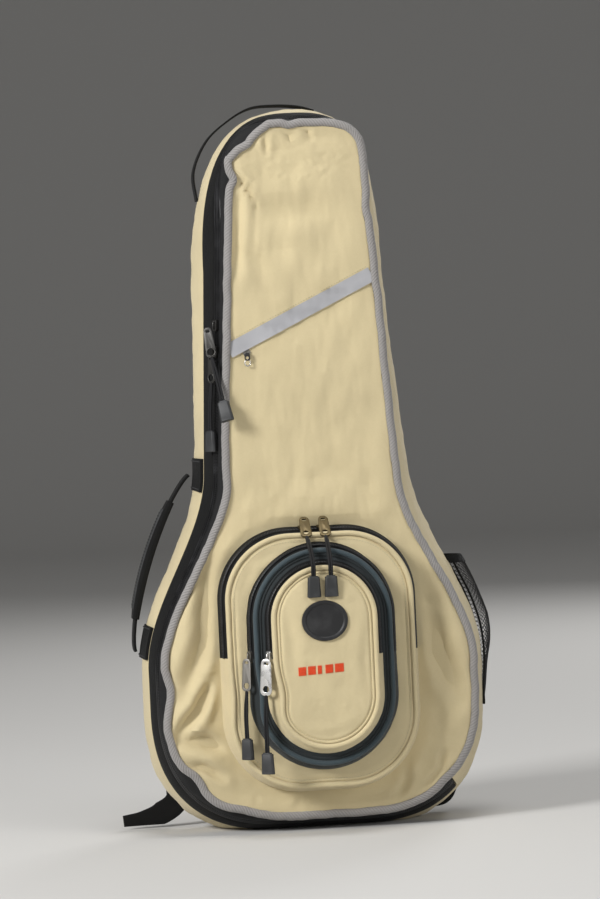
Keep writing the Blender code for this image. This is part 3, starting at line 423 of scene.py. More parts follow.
def own_material(name, base, roughness, build, strength, relief, more=None):
    """A material that reads the piece's own coordinates; build returns what feeds its shader.

    Build takes the map in metres and the place in metres, and returns colour, roughness or
    None, and height. Strength and relief are the bump's; more sets other inputs of the shader.
    """
    made = bpy.data.materials.new(name)
    made.use_nodes = True
    tree = made.node_tree
    where = tree.nodes.new("ShaderNodeTexCoord").outputs
    colour, rough, height = build(Wire(tree, where["UV"]), Wire(tree, where["Object"]))
    raised = height.add("ShaderNodeBump", {"Strength": strength, "Distance": relief,
                                           "Height": height})
    shader = tree.nodes["Principled BSDF"]
    for label, value in (("Base Color", base), ("Roughness", roughness), *(more or {}).items(),
                         ("Base Color", colour), ("Roughness", rough), ("Normal", raised)):
        if value is not None:
            plug(tree, value, shader.inputs[label])
    return made


def group_material(name, group, values, strength, relief, more=None):
    """A material of one of the shared node groups, with the group's inputs given by name."""
    def build(cloth, body):
        shared = body.tree.nodes.new("ShaderNodeGroup")
        shared.node_tree = group
        for label, value in {"Cloth Metres": cloth, "Body Metres": body, **values}.items():
            if label in shared.inputs:
                plug(body.tree, value, shared.inputs[label])
        made = {socket.name: Wire(body.tree, socket) for socket in shared.outputs}
        return made["Colour"], made.get("Roughness"), made["Height"]
    base = values["Thread" if "Thread" in values else "Colour"]
    return own_material(name, base, values.get("Roughness", 0.7), build, strength, relief, more)


def weave_values(cloth, body, pitch, thread, deep, roughness):
    """Plain weave: threads that go over and under, with slubs, fading and a little dust."""
    across, along = cloth.part(0) / pitch, cloth.part(1) / pitch
    cell = across.each("FLOOR") + along.each("FLOOR")
    over = cell.math("GREATER_THAN", (cell * 0.5).each("FRACT"), 0.25)
    crossing = across.hump() * over + along.hump() * (1.0 - over)
    slub = body.noise(420.0, 2.0)
    cloth_colour = slub.times_plus(0.5, crossing * 0.5).mix(deep, thread)
    fade = body.noise(9.0, 4.0).times_plus(0.30, 0.85)
    tint = fade.add("ShaderNodeCombineColor", {0: fade, 1: fade, 2: fade})
    return (cloth_colour.tinted(tint), slub.times_plus(0.16, roughness) - 0.08,
            slub.times_plus(0.35, crossing))


weave_group = make_group(
    "plain_weave", {"Cloth Metres": None, "Body Metres": None, "Pitch": WEAVE_PITCH,
                    "Thread": TAN, "Deep Thread": TAN_DEEP, "Roughness": 0.8},
    ("Colour", "Roughness", "Height"), weave_values)


def woven_material(name, thread, deep, pitch=WEAVE_PITCH, roughness=0.80, relief=0.00025,
                   sheen=0.25):
    """Woven cloth that reads the piece's own map, so that its threads follow the surface."""
    return group_material(name, weave_group, {"Pitch": pitch, "Thread": thread,
                                              "Deep Thread": deep, "Roughness": roughness},
                          0.55, relief, {"Sheen Weight": sheen, "Specular IOR Level": 0.3})


tan_nylon = woven_material("tan_nylon", TAN, TAN_DEEP)
all_round = np.arange(LOOP_POINTS) / LOOP_POINTS
fine_round = np.arange(FINE_POINTS) / FINE_POINTS

rear_gusset = gusset("tan_rear_gusset", all_round, np.linspace(TAPE_BACK_Y, BACK_Y - PIPING_R, 14),
                     COVER_T, True, 1.0, 0.0016, puff=0.0012)
dress(rear_gusset, tan_nylon, "shell", "rear_gusset")


def pair_up(heights):
    """Marks points of a spine that share a height, so that one value can serve them all."""
    pairs = np.unique(heights.round(6), return_inverse=True)[1]
    return lambda values: (np.bincount(pairs, values) / np.bincount(pairs))[pairs]


def panel_rings(rim, y, side, puff, wall, seed, rows=30, height=0.0014, creases=(), calm=None):
    """Rings of a panel from its rim to its spine: the face, puffed outward, and the underside."""
    spine = np.round(np.clip(rim[:, 2], 0.11, 0.68) / SPINE_STEP) * SPINE_STEP
    paired = pair_up(spine)
    face = []
    under = []
    for share in 1 - np.arange(rows) / (rows - 1):
        flat = np.stack([rim[:, 0] * share, np.full(len(rim), y),
                         spine + (rim[:, 2] - spine) * share], axis=1)
        edge = np.linalg.norm(rim[:, [0, 2]] - flat[:, [0, 2]], axis=1)
        swell = ripple(flat, 0.110, height * 1.5, seed)
        swell += ripple(flat, 0.028, height * 0.45, seed + 5)
        lift = puff * (1 - np.exp(-edge / 0.030)) + swell * (1 - np.exp(-edge / 0.012))
        for line, width, depth in creases:
            lift += crease(flat, line, width, depth) * (1 - np.exp(-edge / 0.003))
        if calm is not None:
            lift *= calm(flat)
        if share == 0:
            lift = paired(lift)
        face.append(flat + np.outer(lift, (0, side, 0)))
        under.append(flat - (0, side * wall, 0))
    return np.array(face), np.array(under)


def crease(points, line, width, depth):
    """A fold pressed into cloth along a row of (x, z) points, softest at its two ends."""
    route = np.array(line, float)
    best = np.full(len(points), 1e9)
    along = np.zeros(len(points))
    legs = len(route) - 1
    flat = points[:, [0, 2]]
    for leg in range(legs):
        a, b = route[leg], route[leg + 1]
        t = np.clip(((flat - a) @ (b - a)) / np.dot(b - a, b - a), 0, 1)
        off = np.linalg.norm(flat - (a + t[:, None] * (b - a)), axis=1)
        closer = off < best
        best = np.where(closer, off, best)
        along = np.where(closer, (leg + t) / legs, along)
    fade = np.sin(np.clip(along, 0.03, 0.97) * pi) ** 0.5
    groove = np.exp(-(best / width) ** 2)
    ridge = np.exp(-((best - 1.9 * width) / (1.1 * width)) ** 2)
    return depth * fade * (ridge * 0.45 - groove)


def weld_spine(piece, mend=None):
    """Weld a panel's rings along its spine, where x is zero, and map it as seen from the front."""
    shape = bmesh.new()
    shape.from_mesh(piece.data)
    spine = [vert for vert in shape.verts if abs(vert.co.x) < ON_SPINE]
    bmesh.ops.remove_doubles(shape, verts=spine, dist=1e-4)
    if mend:
        mend(shape)
    shape.to_mesh(piece.data)
    shape.free()
    mesh = piece.data
    layer = mesh.uv_layers.new(name="metres")
    places = np.array([mesh.vertices[loop.vertex_index].co[:] for loop in mesh.loops])
    layer.data.foreach_set("uv", places[:, [0, 2]].ravel())
    face_outward(piece, 50)
    return piece


def close_panel(name, face, under):
    """Join a panel's face, its underside and its rim into one closed piece of cloth."""
    count, sides = face.shape[:2]
    order = np.arange(2 * count * sides).reshape(2 * count, sides)
    order = np.concatenate([order[count - 1::-1], order[count:]]).ravel().tolist()
    faces = [[order[index] for index in side] for side in ring_faces(2 * count, sides, False)]
    return weld_spine(new_piece(name, np.concatenate([face, under]).reshape(-1, 3), faces))


back_rim = shell_ring(all_round, BACK_Y, PIPING_R + 0.0003, PIPING_R + 0.002)
back_panel = close_panel("tan_back_panel",
                         *panel_rings(back_rim, BACK_Y, 1, 0.0025, PIPING_R, 21.0))
dress(back_panel, tan_nylon, "shell", "back_panel")


# Piping along both edges of the shell: a flat grey braid with a slanting rib, folded over a
# thin cord and sewn into the seam. It is stiff, so it waves where the seam is drawn in.
PIPING_GREY = (0.300, 0.285, 0.275)
PIPING_SHADE = (0.190, 0.180, 0.172)
RIB_PITCH = 0.0034
FINE_THREADS = 6200.0
PIPING_POINTS = 700
FACING_BACK = (0.0, 1.0, 0.0)


def braid_values(cloth, body, pitch, slant, thread, deep):
    """Slanting ribs of a braid, with fine threads in each rib."""
    rib = (cloth.part(1).times_plus(slant, cloth.part(0)) / pitch).hump()
    fine = (cloth.part(1) * FINE_THREADS).each("SINE")
    light = body.noise(600.0, 2.0).times_plus(0.45, rib * 0.62).ramp(0.12, 0.72)
    return light.mix(deep, thread), fine.times_plus(0.12, rib)


braid_group = make_group(
    "slanting_braid", {"Cloth Metres": None, "Body Metres": None, "Pitch": RIB_PITCH,
                       "Slant": 0.8, "Thread": PIPING_GREY, "Deep Thread": PIPING_SHADE},
    ("Colour", "Height"), braid_values)
grey_braid = group_material("grey_braid", braid_group, {"Thread": PIPING_GREY, "Roughness": 0.72},
                            0.8, 0.0006, {"Sheen Weight": 0.3, "Specular IOR Level": 0.3})


def tube(name, centres, wide, thick, outward, sides=12, ring=True, smooth=80):
    """A flattened tube along a row of points; outward tells which way it lies flat."""
    ahead = heading(centres, ring)
    normal = unit(outward - ahead * (outward * ahead).sum(axis=1)[:, None])
    turns = 2 * pi * np.arange(sides) / sides
    return skin(name, (centres[:, None]
                       + np.cross(ahead, normal)[:, None] * (np.cos(turns) * wide)[:, None]
                       + normal[:, None] * (np.sin(turns) * thick)[:, None]),
                ring=ring, smooth=smooth)


def wave(points, size, reach, seed):
    """Sideways waver of a piping in the plane of its seam."""
    return np.array([noise.fractal(Vector(point) / size + Vector((seed, 0, 0)), 0.8, 2.0, 2)
                     for point in points]) * reach


back_line = shell_ring(np.arange(PIPING_POINTS) / PIPING_POINTS, BACK_Y, 0.0, PIPING_R + 0.002)
back_line[:, 1] += wave(back_line, 0.06, 0.0015, 4.0)
back_piping = tube("grey_back_piping", back_line, 0.0042, 0.0036,
                   np.tile(FACING_BACK, (PIPING_POINTS, 1)))
dress(back_piping, grey_braid, "shell", "back_piping")


# Main zip: a broad black woven tape sewn to the rear gusset, a coil of nylon teeth on its edge,
# and the same coil on the narrow black strip of the lid. It runs from high on the right over
# the head, down the left side and round the bottom, so the lid folds on the right.
BLACK = (0.0076, 0.0076, 0.0074)
BLACK_DEEP = (0.0022, 0.0022, 0.0022)
COIL_BLACK = (0.0080, 0.0080, 0.0086)
TAPE_PITCH = 0.0013
TOOTH_PITCH = 0.0021
TOOTH_H = 0.0009
COIL_HALF = 0.0045
SEAM = 0.0003
END_GAP = 0.0004
ZIP_POINTS = 340
HINGE_POINTS = 160
COIL_WALL = 0.0025
TEETH_OFF = 0.0004
ZIP_FLOOR = 0.0006
LID_STRIP_BACK_Y = SPLIT_Y - COIL_HALF - SEAM
CORNERS = ((1, 1), (-1, 1), (-1, -1), (1, -1))


def share_near(point, y):
    """The share of the way round where the shell passes nearest to an (x, z) point."""
    ring = shell_ring(fine_round, y)
    return float(np.argmin(np.hypot(ring[:, 0] - point[0], ring[:, 2] - point[1]))) / FINE_POINTS


def piece_ends(node):
    """Shares of the way round where a CAD strip of the shell starts and ends."""
    corners = np.array([vert.co[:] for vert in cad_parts[node].data.vertices])
    right = corners[corners[:, 0] > 0.03]
    low = right[np.argmin(right[:, 2])]
    high = right[np.argmax(right[:, 2])]
    return share_near(low[[0, 2]], low[1]), share_near(high[[0, 2]], high[1])


hinge_low, hinge_high = piece_ends("hinge_gusset_rear")
zip_shares = np.linspace(hinge_high + END_GAP, hinge_low + 1.0 - END_GAP, ZIP_POINTS)
hinge_shares = np.linspace(hinge_low + END_GAP, hinge_high - END_GAP, HINGE_POINTS)


def webbing_values(cloth, body, pitch, thread, deep):
    """Heavy webbing: cords across it, each row half a cord on from the last, and a little lint."""
    along, across = cloth.part(0) / pitch, cloth.part(1) / pitch
    row = across.math("MODULO", (across + 900.0).each("FLOOR"), 2.0)
    rib = row.times_plus(0.5, along).hump()
    weave = rib * across.math("POWER", across.hump(), 0.5)
    lint = body.noise(260.0, 3.0)
    return (lint.times_plus(0.5, weave * 0.6).mix(deep, thread), lint.times_plus(0.2, 0.62), weave)


webbing_group = make_group(
    "heavy_webbing", {"Cloth Metres": None, "Body Metres": None, "Pitch": TAPE_PITCH,
                      "Thread": BLACK, "Deep Thread": BLACK_DEEP},
    ("Colour", "Roughness", "Height"), webbing_values)
black_tape = group_material("black_tape", webbing_group, {"Thread": BLACK}, 0.8, 0.0004,
                            {"Sheen Weight": 0.03, "Specular IOR Level": 0.20})
black_strip = woven_material("black_strip", (0.011, 0.011, 0.012), BLACK_DEEP, 0.0008, 0.7, 0.0002,
                             0.03)

rear_tape = gusset("black_rear_zip_tape", zip_shares,
                   np.linspace(SPLIT_Y + COIL_HALF + SEAM, TAPE_BACK_Y, 9), COVER_T, False, 31.0,
                   0.0007, floor=ZIP_FLOOR, puff=0.0012)
dress(rear_tape, black_tape, "shell", "rear_zip_band")


def grain_values(body, colour, rubbed, roughness):
    """Moulded plastic: a fine matt grain, faint flow marks and rubbed high spots."""
    flow = body.noise(70.0, 4.0)
    return (flow.ramp(0.45, 0.75).mix(colour, rubbed), flow.times_plus(0.22, roughness) - 0.1,
            flow.times_plus(0.3, body.noise(1500.0, 2.0)))


grain_group = make_group("moulded_grain", {"Body Metres": None, "Colour": COIL_BLACK,
                                           "Rubbed": COIL_BLACK, "Roughness": 0.45},
                         ("Colour", "Roughness", "Height"), grain_values)


def moulded_material(name, colour, rubbed, roughness):
    """Moulded plastic or rubber, from the shared group."""
    return group_material(name, grain_group, {"Colour": colour, "Rubbed": rubbed,
                                              "Roughness": roughness}, 0.5, 0.0001)


coil_plastic = moulded_material("coil_nylon", COIL_BLACK, (0.024, 0.024, 0.026), 0.40)


def rod_faces(base, rows):
    """Faces of a short rod with four points round it, from a first point on."""
    faces = [tuple(base + index for index in face) for face in ring_faces(rows, 4, False)]
    last = base + 4 * (rows - 1)
    return faces + [(base + 3, base + 2, base + 1, base), (last, last + 1, last + 2, last + 3)]


def coil_teeth(name, points, faces, body):
    """The nylon teeth of a zip as one piece."""
    teeth = new_piece(name + "_teeth", points, faces)
    face_outward(teeth, 30)
    dress(teeth, coil_plastic, body, None)


def coil_row(name, centre_y, body, node, teeth_out):
    """Half of the coil zip: a low bed of tape with a nylon tooth every few millimetres."""
    width = COIL_HALF - SEAM
    depths = np.linspace(centre_y - width / 2, centre_y + width / 2, 5)
    bed = gusset(name + "_bed", zip_shares, depths, COIL_WALL, False, 0.0, 0.0, floor=ZIP_FLOOR)
    dress(bed, coil_plastic, body, node)
    count = int((zip_shares[-1] - zip_shares[0]) * PERIMETER / TOOTH_PITCH)
    shares = np.linspace(zip_shares[0] + 0.0008, zip_shares[-1] - 0.0008, count)
    middle = shell_ring(shares, centre_y, 0.0, ZIP_FLOOR)
    outward = middle - shell_ring(shares, centre_y, 0.01, ZIP_FLOOR)
    ahead = heading(middle)
    ahead[[0, -1]] = ahead[[1, -2]]
    slope = unit(shell_ring(shares, centre_y + 0.002, 0.0, ZIP_FLOOR)
                 - shell_ring(shares, centre_y - 0.002, 0.0, ZIP_FLOOR))
    out = np.cross(slope, ahead)
    out *= np.sign((out * outward).sum(axis=1))[:, None]
    points = []
    faces = []
    for index in range(count):
        faces += rod_faces(len(points), 2)
        for down, wide, long in ((-0.3, 1.0, 1.0), (1.0, 0.8, 0.7)):
            points += [middle[index] + slope[index] * (width * 0.36 * wide * a + teeth_out)
                       + ahead[index] * TOOTH_PITCH * 0.34 * long * b
                       + out[index] * TOOTH_H * down for a, b in CORNERS]
    coil_teeth(name, points, faces, body)


coil_row("rear_zip_coil", SPLIT_Y + COIL_HALF / 2, "shell", "rear_zip_coil", -TEETH_OFF)
coil_row("lid_zip_coil", SPLIT_Y - COIL_HALF / 2, "lid", "front_zip_coil", TEETH_OFF)


# Plain side of the gusset, on the right between the two ends of the zip. It is one strip of tan
# nylon from the rear gusset to the lid's piping, on the side where the lid is hinged.
hinge_gusset = gusset("tan_hinge_gusset", hinge_shares,
                      np.linspace(FRONT_Y + PIPING_R + SEAM, TAPE_BACK_Y - SEAM, 16), 0.0028,
                      False, 47.0, 0.0016, floor=ZIP_FLOOR, puff=0.0010)
dress(hinge_gusset, tan_nylon, None, None)
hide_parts("hinge_gusset_front", "hinge_gusset_rear")
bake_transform(hinge_gusset)


# Lid: the front panel of tan nylon. Its seam is drawn in by the piping, most at the top left and
# the lower left, and from there the cloth is creased and puckered inward.
FRONT_CUT = np.array([(-0.0700, 0.7060), (-0.0260, 0.7425)])
FRONT_PINCHES = ((-0.0700, 0.6860, 0.0070, 0.0045), (-0.0060, 0.7430, 0.0060, 0.0022),
                 (-0.1640, 0.1500, 0.0200, 0.0065), (-0.1360, 0.0600, 0.0180, 0.0085),
                 (-0.0870, 0.0200, 0.0300, 0.0040), (0.0790, 0.6500, 0.0120, 0.0025),
                 (-0.0960, 0.3600, 0.0300, 0.0030), (0.1250, 0.0500, 0.0150, 0.0030))
FRONT_CREASES = ((((-0.0640, 0.6900), (-0.0530, 0.6730), (-0.0420, 0.6550)), 0.0034, 0.0048),
                 (((-0.0430, 0.6560), (-0.0100, 0.6490), (0.0340, 0.6510)), 0.0110, 0.0040),
                 (((-0.0600, 0.6800), (-0.0670, 0.6200), (-0.0680, 0.5850)), 0.0055, 0.0042),
                 (((-0.0320, 0.7310), (-0.0300, 0.7120)), 0.0030, 0.0028),
                 (((-0.0080, 0.7400), (-0.0040, 0.7270), (-0.0020, 0.7160)), 0.0030, 0.0036),
                 (((0.0120, 0.7420), (0.0165, 0.7250)), 0.0030, 0.0030),
                 (((-0.0600, 0.6100), (-0.0420, 0.5950), (-0.0350, 0.5830)), 0.0070, 0.0028),
                 (((-0.1560, 0.1040), (-0.1300, 0.1330), (-0.1130, 0.1640)), 0.0060, 0.0105),
                 (((-0.1540, 0.1010), (-0.1280, 0.1010), (-0.1000, 0.0900)), 0.0065, 0.0080),
                 (((-0.1400, 0.1500), (-0.1200, 0.2100), (-0.1120, 0.2850)), 0.0100, 0.0085),
                 (((-0.1450, 0.0740), (-0.1260, 0.0720), (-0.1080, 0.0610)), 0.0045, 0.0055),
                 (((-0.0735, 0.0290), (-0.0725, 0.0400)), 0.0026, 0.0014),
                 (((-0.0300, 0.0240), (-0.0270, 0.0370)), 0.0035, 0.0014),
                 (((0.0780, 0.0280), (0.0860, 0.0480), (0.0850, 0.0680)), 0.0046, 0.0042),
                 (((0.1060, 0.0380), (0.1240, 0.0550), (0.1270, 0.0740)), 0.0040, 0.0042),
                 (((0.1480, 0.1300), (0.1280, 0.1800), (0.1200, 0.2300)), 0.0110, 0.0070))
POCKET_ROUND = 0.078
LARGE_HALF = 0.1045
LARGE_LOW_Z = 0.0415
LARGE_HIGH_Z = 0.3195


def cut_corner(plain):
    """How far the top left corner is cut off, straight from one kink of the piping to the other."""
    low, high = FRONT_CUT
    run = unit(high - low)
    flat = plain[:, [0, 2]] - low
    along = flat @ run
    off = flat[:, 1] * run[0] - flat[:, 0] * run[1]
    return np.where((along > 0) & (along < np.linalg.norm(high - low)) & (off > 0), off, 0.0)


def drawn_in(shares, inset=0.0, floor=0.0, y=FRONT_Y, depth_share=1.0):
    """The front rim where the piping draws it in, at shares of the way round the shell."""
    plain = shell_ring(shares, FRONT_Y)
    pull = cut_corner(plain) + ripple(plain, 0.020, 0.0008, 61.0)
    for across, up, width, depth in FRONT_PINCHES:
        pull += depth * np.exp(-(np.hypot(plain[:, 0] - across, plain[:, 2] - up) / width) ** 2)
    ring = shell_ring(shares, y)
    inward = (shell_ring(shares, y, INWARD_STEP) - ring) / INWARD_STEP
    made = ring + inward * (inset + pull * depth_share)[:, None]
    made[:, 2] = np.maximum(made[:, 2], floor + inset)
    return made


def off_pocket(points):
    """Distance outside the large pocket's outline, negative inside it."""
    middle = (LARGE_LOW_Z + LARGE_HIGH_Z) / 2
    across = np.abs(points[:, 0]) - (LARGE_HALF - POCKET_ROUND)
    up = np.abs(points[:, 2] - middle) - ((LARGE_HIGH_Z - LARGE_LOW_Z) / 2 - POCKET_ROUND)
    outside = np.hypot(np.maximum(across, 0), np.maximum(up, 0))
    return outside + np.minimum(np.maximum(across, up), 0) - POCKET_ROUND


def calm_by_pocket(points):
    """Cloth held flat under the large pocket's seam, and free a little way from it."""
    away = np.clip(off_pocket(points) / 0.014, 0, 1)
    return 0.06 + 0.94 * away * away * (3 - 2 * away)


front_rim = drawn_in(all_round, PIPING_R + 0.0003, PIPING_R + 0.0015)
front_face, front_under = panel_rings(front_rim, FRONT_Y, -1, 0.0030, PIPING_R, 5.0, rows=84,
                                      height=0.0030, creases=FRONT_CREASES, calm=calm_by_pocket)
dress(close_panel("tan_front_panel", front_face, front_under), tan_nylon, "lid", "front_panel")


def face_depth(face, across, up, count=4):
    """Depth of a cloth face at one place, read from the nearest points of its rings."""
    points = face.reshape(-1, 3)
    off = (points[:, 0] - across) ** 2 + (points[:, 2] - up) ** 2
    near = np.argpartition(off, count)[:count]
    weight = 1 / (off[near] + 1e-8)
    return float((points[near, 1] * weight).sum() / weight.sum())


# Front piping: the same braid as the back's, folded over the drawn-in seam. It ends in a lapped
# joint at the bottom, a little left of the middle.
FRONT_JOINT_X = -0.0413
FRONT_POINTS = 900
FRONT_PIPING_Z = 0.0118
LAP_POINTS = 14
PIPING_SIDES = 14
LID_STRIP_T = 0.0020
LID_STRIP_FRONT_Y = FRONT_Y + 0.0015

low_ring = shell_ring(fine_round, FRONT_Y)
low_ring[low_ring[:, 2] > 0.1, 0] = 9.0
joint_share = float(np.argmin(np.abs(low_ring[:, 0] - FRONT_JOINT_X))) / FINE_POINTS
front_shares = np.mod(joint_share + np.arange(FRONT_POINTS) / FRONT_POINTS, 1.0)
front_line = drawn_in(front_shares, 0.0, FRONT_PIPING_Z)
front_line[:, 1] += wave(front_line, 0.05, 0.0012, 9.0)
facing_front = (0.0, -1.0, 0.0) + (shell_ring(front_shares, FRONT_Y)
                                   - shell_ring(front_shares, FRONT_Y, 0.01)) * 45
dress(tube("grey_front_piping", front_line, 0.0044, 0.0035, facing_front, PIPING_SIDES),
      grey_braid, "lid", "front_piping")
dress(tube("piping_lap", front_line[:LAP_POINTS], 0.0047, 0.0040, facing_front[:LAP_POINTS],
           PIPING_SIDES, False), grey_braid, "lid", None)

outer = []
for share in np.linspace(0, 1, 14):
    y = LID_STRIP_FRONT_Y + (LID_STRIP_BACK_Y - LID_STRIP_FRONT_Y) * share
    ring = drawn_in(zip_shares, 0.0, ZIP_FLOOR, y, (1 - share) ** 1.3)
    outward = (shell_ring(zip_shares, y) - shell_ring(zip_shares, y, 0.01)) / 0.01
    push = (0.0012 + ripple(ring, 0.03, 0.0010, 35.0)) * seam_free(share)
    outer.append(ring + outward * push[:, None])
outer = np.array(outer)
outer[:, :, 2] = np.maximum(outer[:, :, 2], ZIP_FLOOR)
inward = (shell_ring(zip_shares, LID_STRIP_BACK_Y, 0.01)
          - shell_ring(zip_shares, LID_STRIP_BACK_Y)) / 0.01
inner = outer[::-1] + inward * LID_STRIP_T
lid_zip_strip = skin("black_lid_zip_strip", np.concatenate([outer, inner]).transpose(1, 0, 2))
dress(lid_zip_strip, black_strip, "lid", "front_gusset")


# Reflective strip over the slanting document zip, sewn along its upper edge, with the little zip
# slider just under its left end.
STRIP_LOW = Vector((-0.0800, 0.0, 0.5063))
STRIP_HIGH = Vector((0.0740, 0.0, 0.5804))
STRIP_HALF = 0.0078
STRIP_RISES = (1.0, 0.5, 0.0, -0.5, -1.0)
REFLECTIVE = (0.46, 0.46, 0.475)
STITCH_SINK = 0.00005
QUARTERS = ((1, 0), (0, 1), (-1, 0), (0, -1))

strip_run = (STRIP_HIGH - STRIP_LOW).normalized()
strip_up = Vector((-strip_run.z, 0.0, strip_run.x))


def over_front(place, lift):
    """A place moved to stand off the front panel's face by a small lift."""
    return place.x, face_depth(front_face, place.x, place.z, 6) - lift, place.z


def reflective_values(cloth, body):
    """Tape with fine glass beads, worn a little dull in patches."""
    worn = body.noise(55.0, 4.0)
    return (worn.mix((0.31, 0.31, 0.325), (0.40, 0.40, 0.415)), worn.times_plus(0.25, 0.30),
            worn.times_plus(0.5, body.cells(1500.0)))


strip_rows = []
for step in range(90):
    rises = [STRIP_LOW.lerp(STRIP_HIGH, step / 89) + strip_up * STRIP_HALF * rise
             for rise in STRIP_RISES]
    strip_rows.append([over_front(place, 0.0016 - 0.0006 * rise)
                       for place, rise in zip(rises, STRIP_RISES)]
                      + [over_front(place, -0.0008) for place in rises[::-1]])
dress(skin("reflective_strip", strip_rows, smooth=60),
      own_material("reflective_tape", REFLECTIVE, 0.42, reflective_values, 0.3, 0.0002,
                   {"Specular IOR Level": 0.6}),
      "lid", "reflective_flap")


def thread_material(name, colour):
    """Sewing thread, darker where its strands twist under."""
    def twisted(cloth, body):
        twist = body.noise(900.0, 2.0)
        return (twist.mix(tuple(part * 0.6 for part in colour), colour),
                twist.times_plus(0.3, 0.45), twist)
    return own_material(name, colour, 0.55, twisted, 0.4, 0.0002)


tan_thread = thread_material("tan_thread", (0.60, 0.53, 0.34))
black_thread = thread_material("black_thread", (0.030, 0.030, 0.032))


def stitches(name, line, outward, length, pitch, material, body, radius=0.00035):
    """A row of lockstitches along a line: short threads that dive into the cloth at both ends."""
    points = np.array([tuple(point) for point in line])
    normals = np.broadcast_to(outward, points.shape)
    way = walk(points)
    verts = []
    faces = []
    for start in np.arange(pitch * 0.5, way[-1] - length, pitch):
        faces += rod_faces(len(verts), 4)
        ahead = unit(point_at(start + length, way, points) - point_at(start, way, points))
        for share, size, rise in ((0.0, 0.5, -1.0), (0.2, 1.0, 0.6), (0.8, 1.0, 0.6),
                                  (1.0, 0.5, -1.0)):
            out = unit(point_at(start + length * share, way, normals))
            side = unit(np.cross(ahead, out))
            centre = (point_at(start + length * share, way, points)
                      + out * (radius * rise - STITCH_SINK))
            verts += [centre + (side * a + out * b) * radius * size for a, b in QUARTERS]
    sewn = new_piece(name, verts, faces)
    face_outward(sewn, 60)
    dress(sewn, material, body)


seam_line = [over_front(STRIP_LOW.lerp(STRIP_HIGH, step / 60) + strip_up * (STRIP_HALF + 0.0016),
                        0.0) for step in range(61)]
stitches("strip_stitches", seam_line, (0, -1, 0), 0.0018, 0.0031, tan_thread, "lid", 0.0004)


# Pockets: three trays of decreasing size, one on the other. Each has a black zip band over its
# upper half, a plain gusset round its lower half, and a front panel with a thick self piping.
ZIP_END_Z = 0.186
POCKET_FLARE = 0.007
BAND_SHARE = 0.58
BAND_T = 0.0028
COIL_SHARE = 0.62
POCKET_POINTS = 121
TRAY_ROWS = 44
TRAY_T = 0.0026
POCKET_TOOTH_PITCH = 0.0016
SLATE = (0.019, 0.026, 0.028)
SLATE_DEEP = (0.010, 0.014, 0.016)
WELT_R = 0.0028

# Two copies of one slate cloth: the self piping is painted lighter than the face cloth, a painted
# highlight on the round welt.
slate_welt_painted_highlight = woven_material("slate_welt_painted_highlight", (0.050, 0.074, 0.086), (0.030, 0.046, 0.055), WEAVE_PITCH,
                            0.60, 0.00025, 0.15)
slate_nylon = woven_material("slate_nylon", SLATE, SLATE_DEEP, WEAVE_PITCH, 0.66, 0.00025, 0.15)


def pocket_line(half, low_z, high_z, low_r, high_r):
    """Evenly spaced points round a pocket: over its top to the right, and back round its foot."""
    turns = np.linspace(0, pi / 2, 40)
    lines = []
    for way, middle, radius in ((1, high_z - high_r, high_r), (-1, low_z + low_r, low_r)):
        arc = np.stack([half - radius + radius * np.cos(turns),
                        middle + way * radius * np.sin(turns)], axis=1)
        side = np.vstack([[(half, ZIP_END_Z)], arc])
        line = np.concatenate([side * (-way, 1), (side * (way, 1))[::-1]])
        passed = walk(line)
        lines.append(point_at(np.linspace(0, passed[-1], POCKET_POINTS), passed, line))
    return lines


def outward_of(line, closed=False):
    """Unit vectors in the plane that point out of a pocket's outline."""
    ahead = heading(line, closed)
    return np.stack([-ahead[:, 1], ahead[:, 0]], axis=1)


def flare_of(line, dent):
    """How far a pocket's side leans in; its left side is pushed in, most under its zip's end."""
    pushed = dent * np.exp(-((line[:, 1] - 0.146) / 0.023) ** 2) * (line[:, 0] < 0)
    return (POCKET_FLARE + pushed)[:, None]


def band_strip(name, line, back_y, front_y, seed, height, dent):
    """A strip of a pocket's side, from its foot on the panel to its tray, flaring inward."""
    out = outward_of(line)
    flare = flare_of(line, dent)
    rows = []
    for share in np.linspace(0, 1, 9):
        points = at_depth(line - out * flare * share, back_y + (front_y - back_y) * share)
        push = (height * 0.7 + ripple(points, 0.022, height, seed)) * seam_free(share)
        points[:, [0, 2]] += out * push[:, None]
        rows.append(points)
    rows += [at_depth(line - out * (flare * share + BAND_T), back_y + (front_y - back_y) * share)
             for share in (1.0, 0.5, 0.0)]
    return skin(name, np.stack(rows, axis=1))


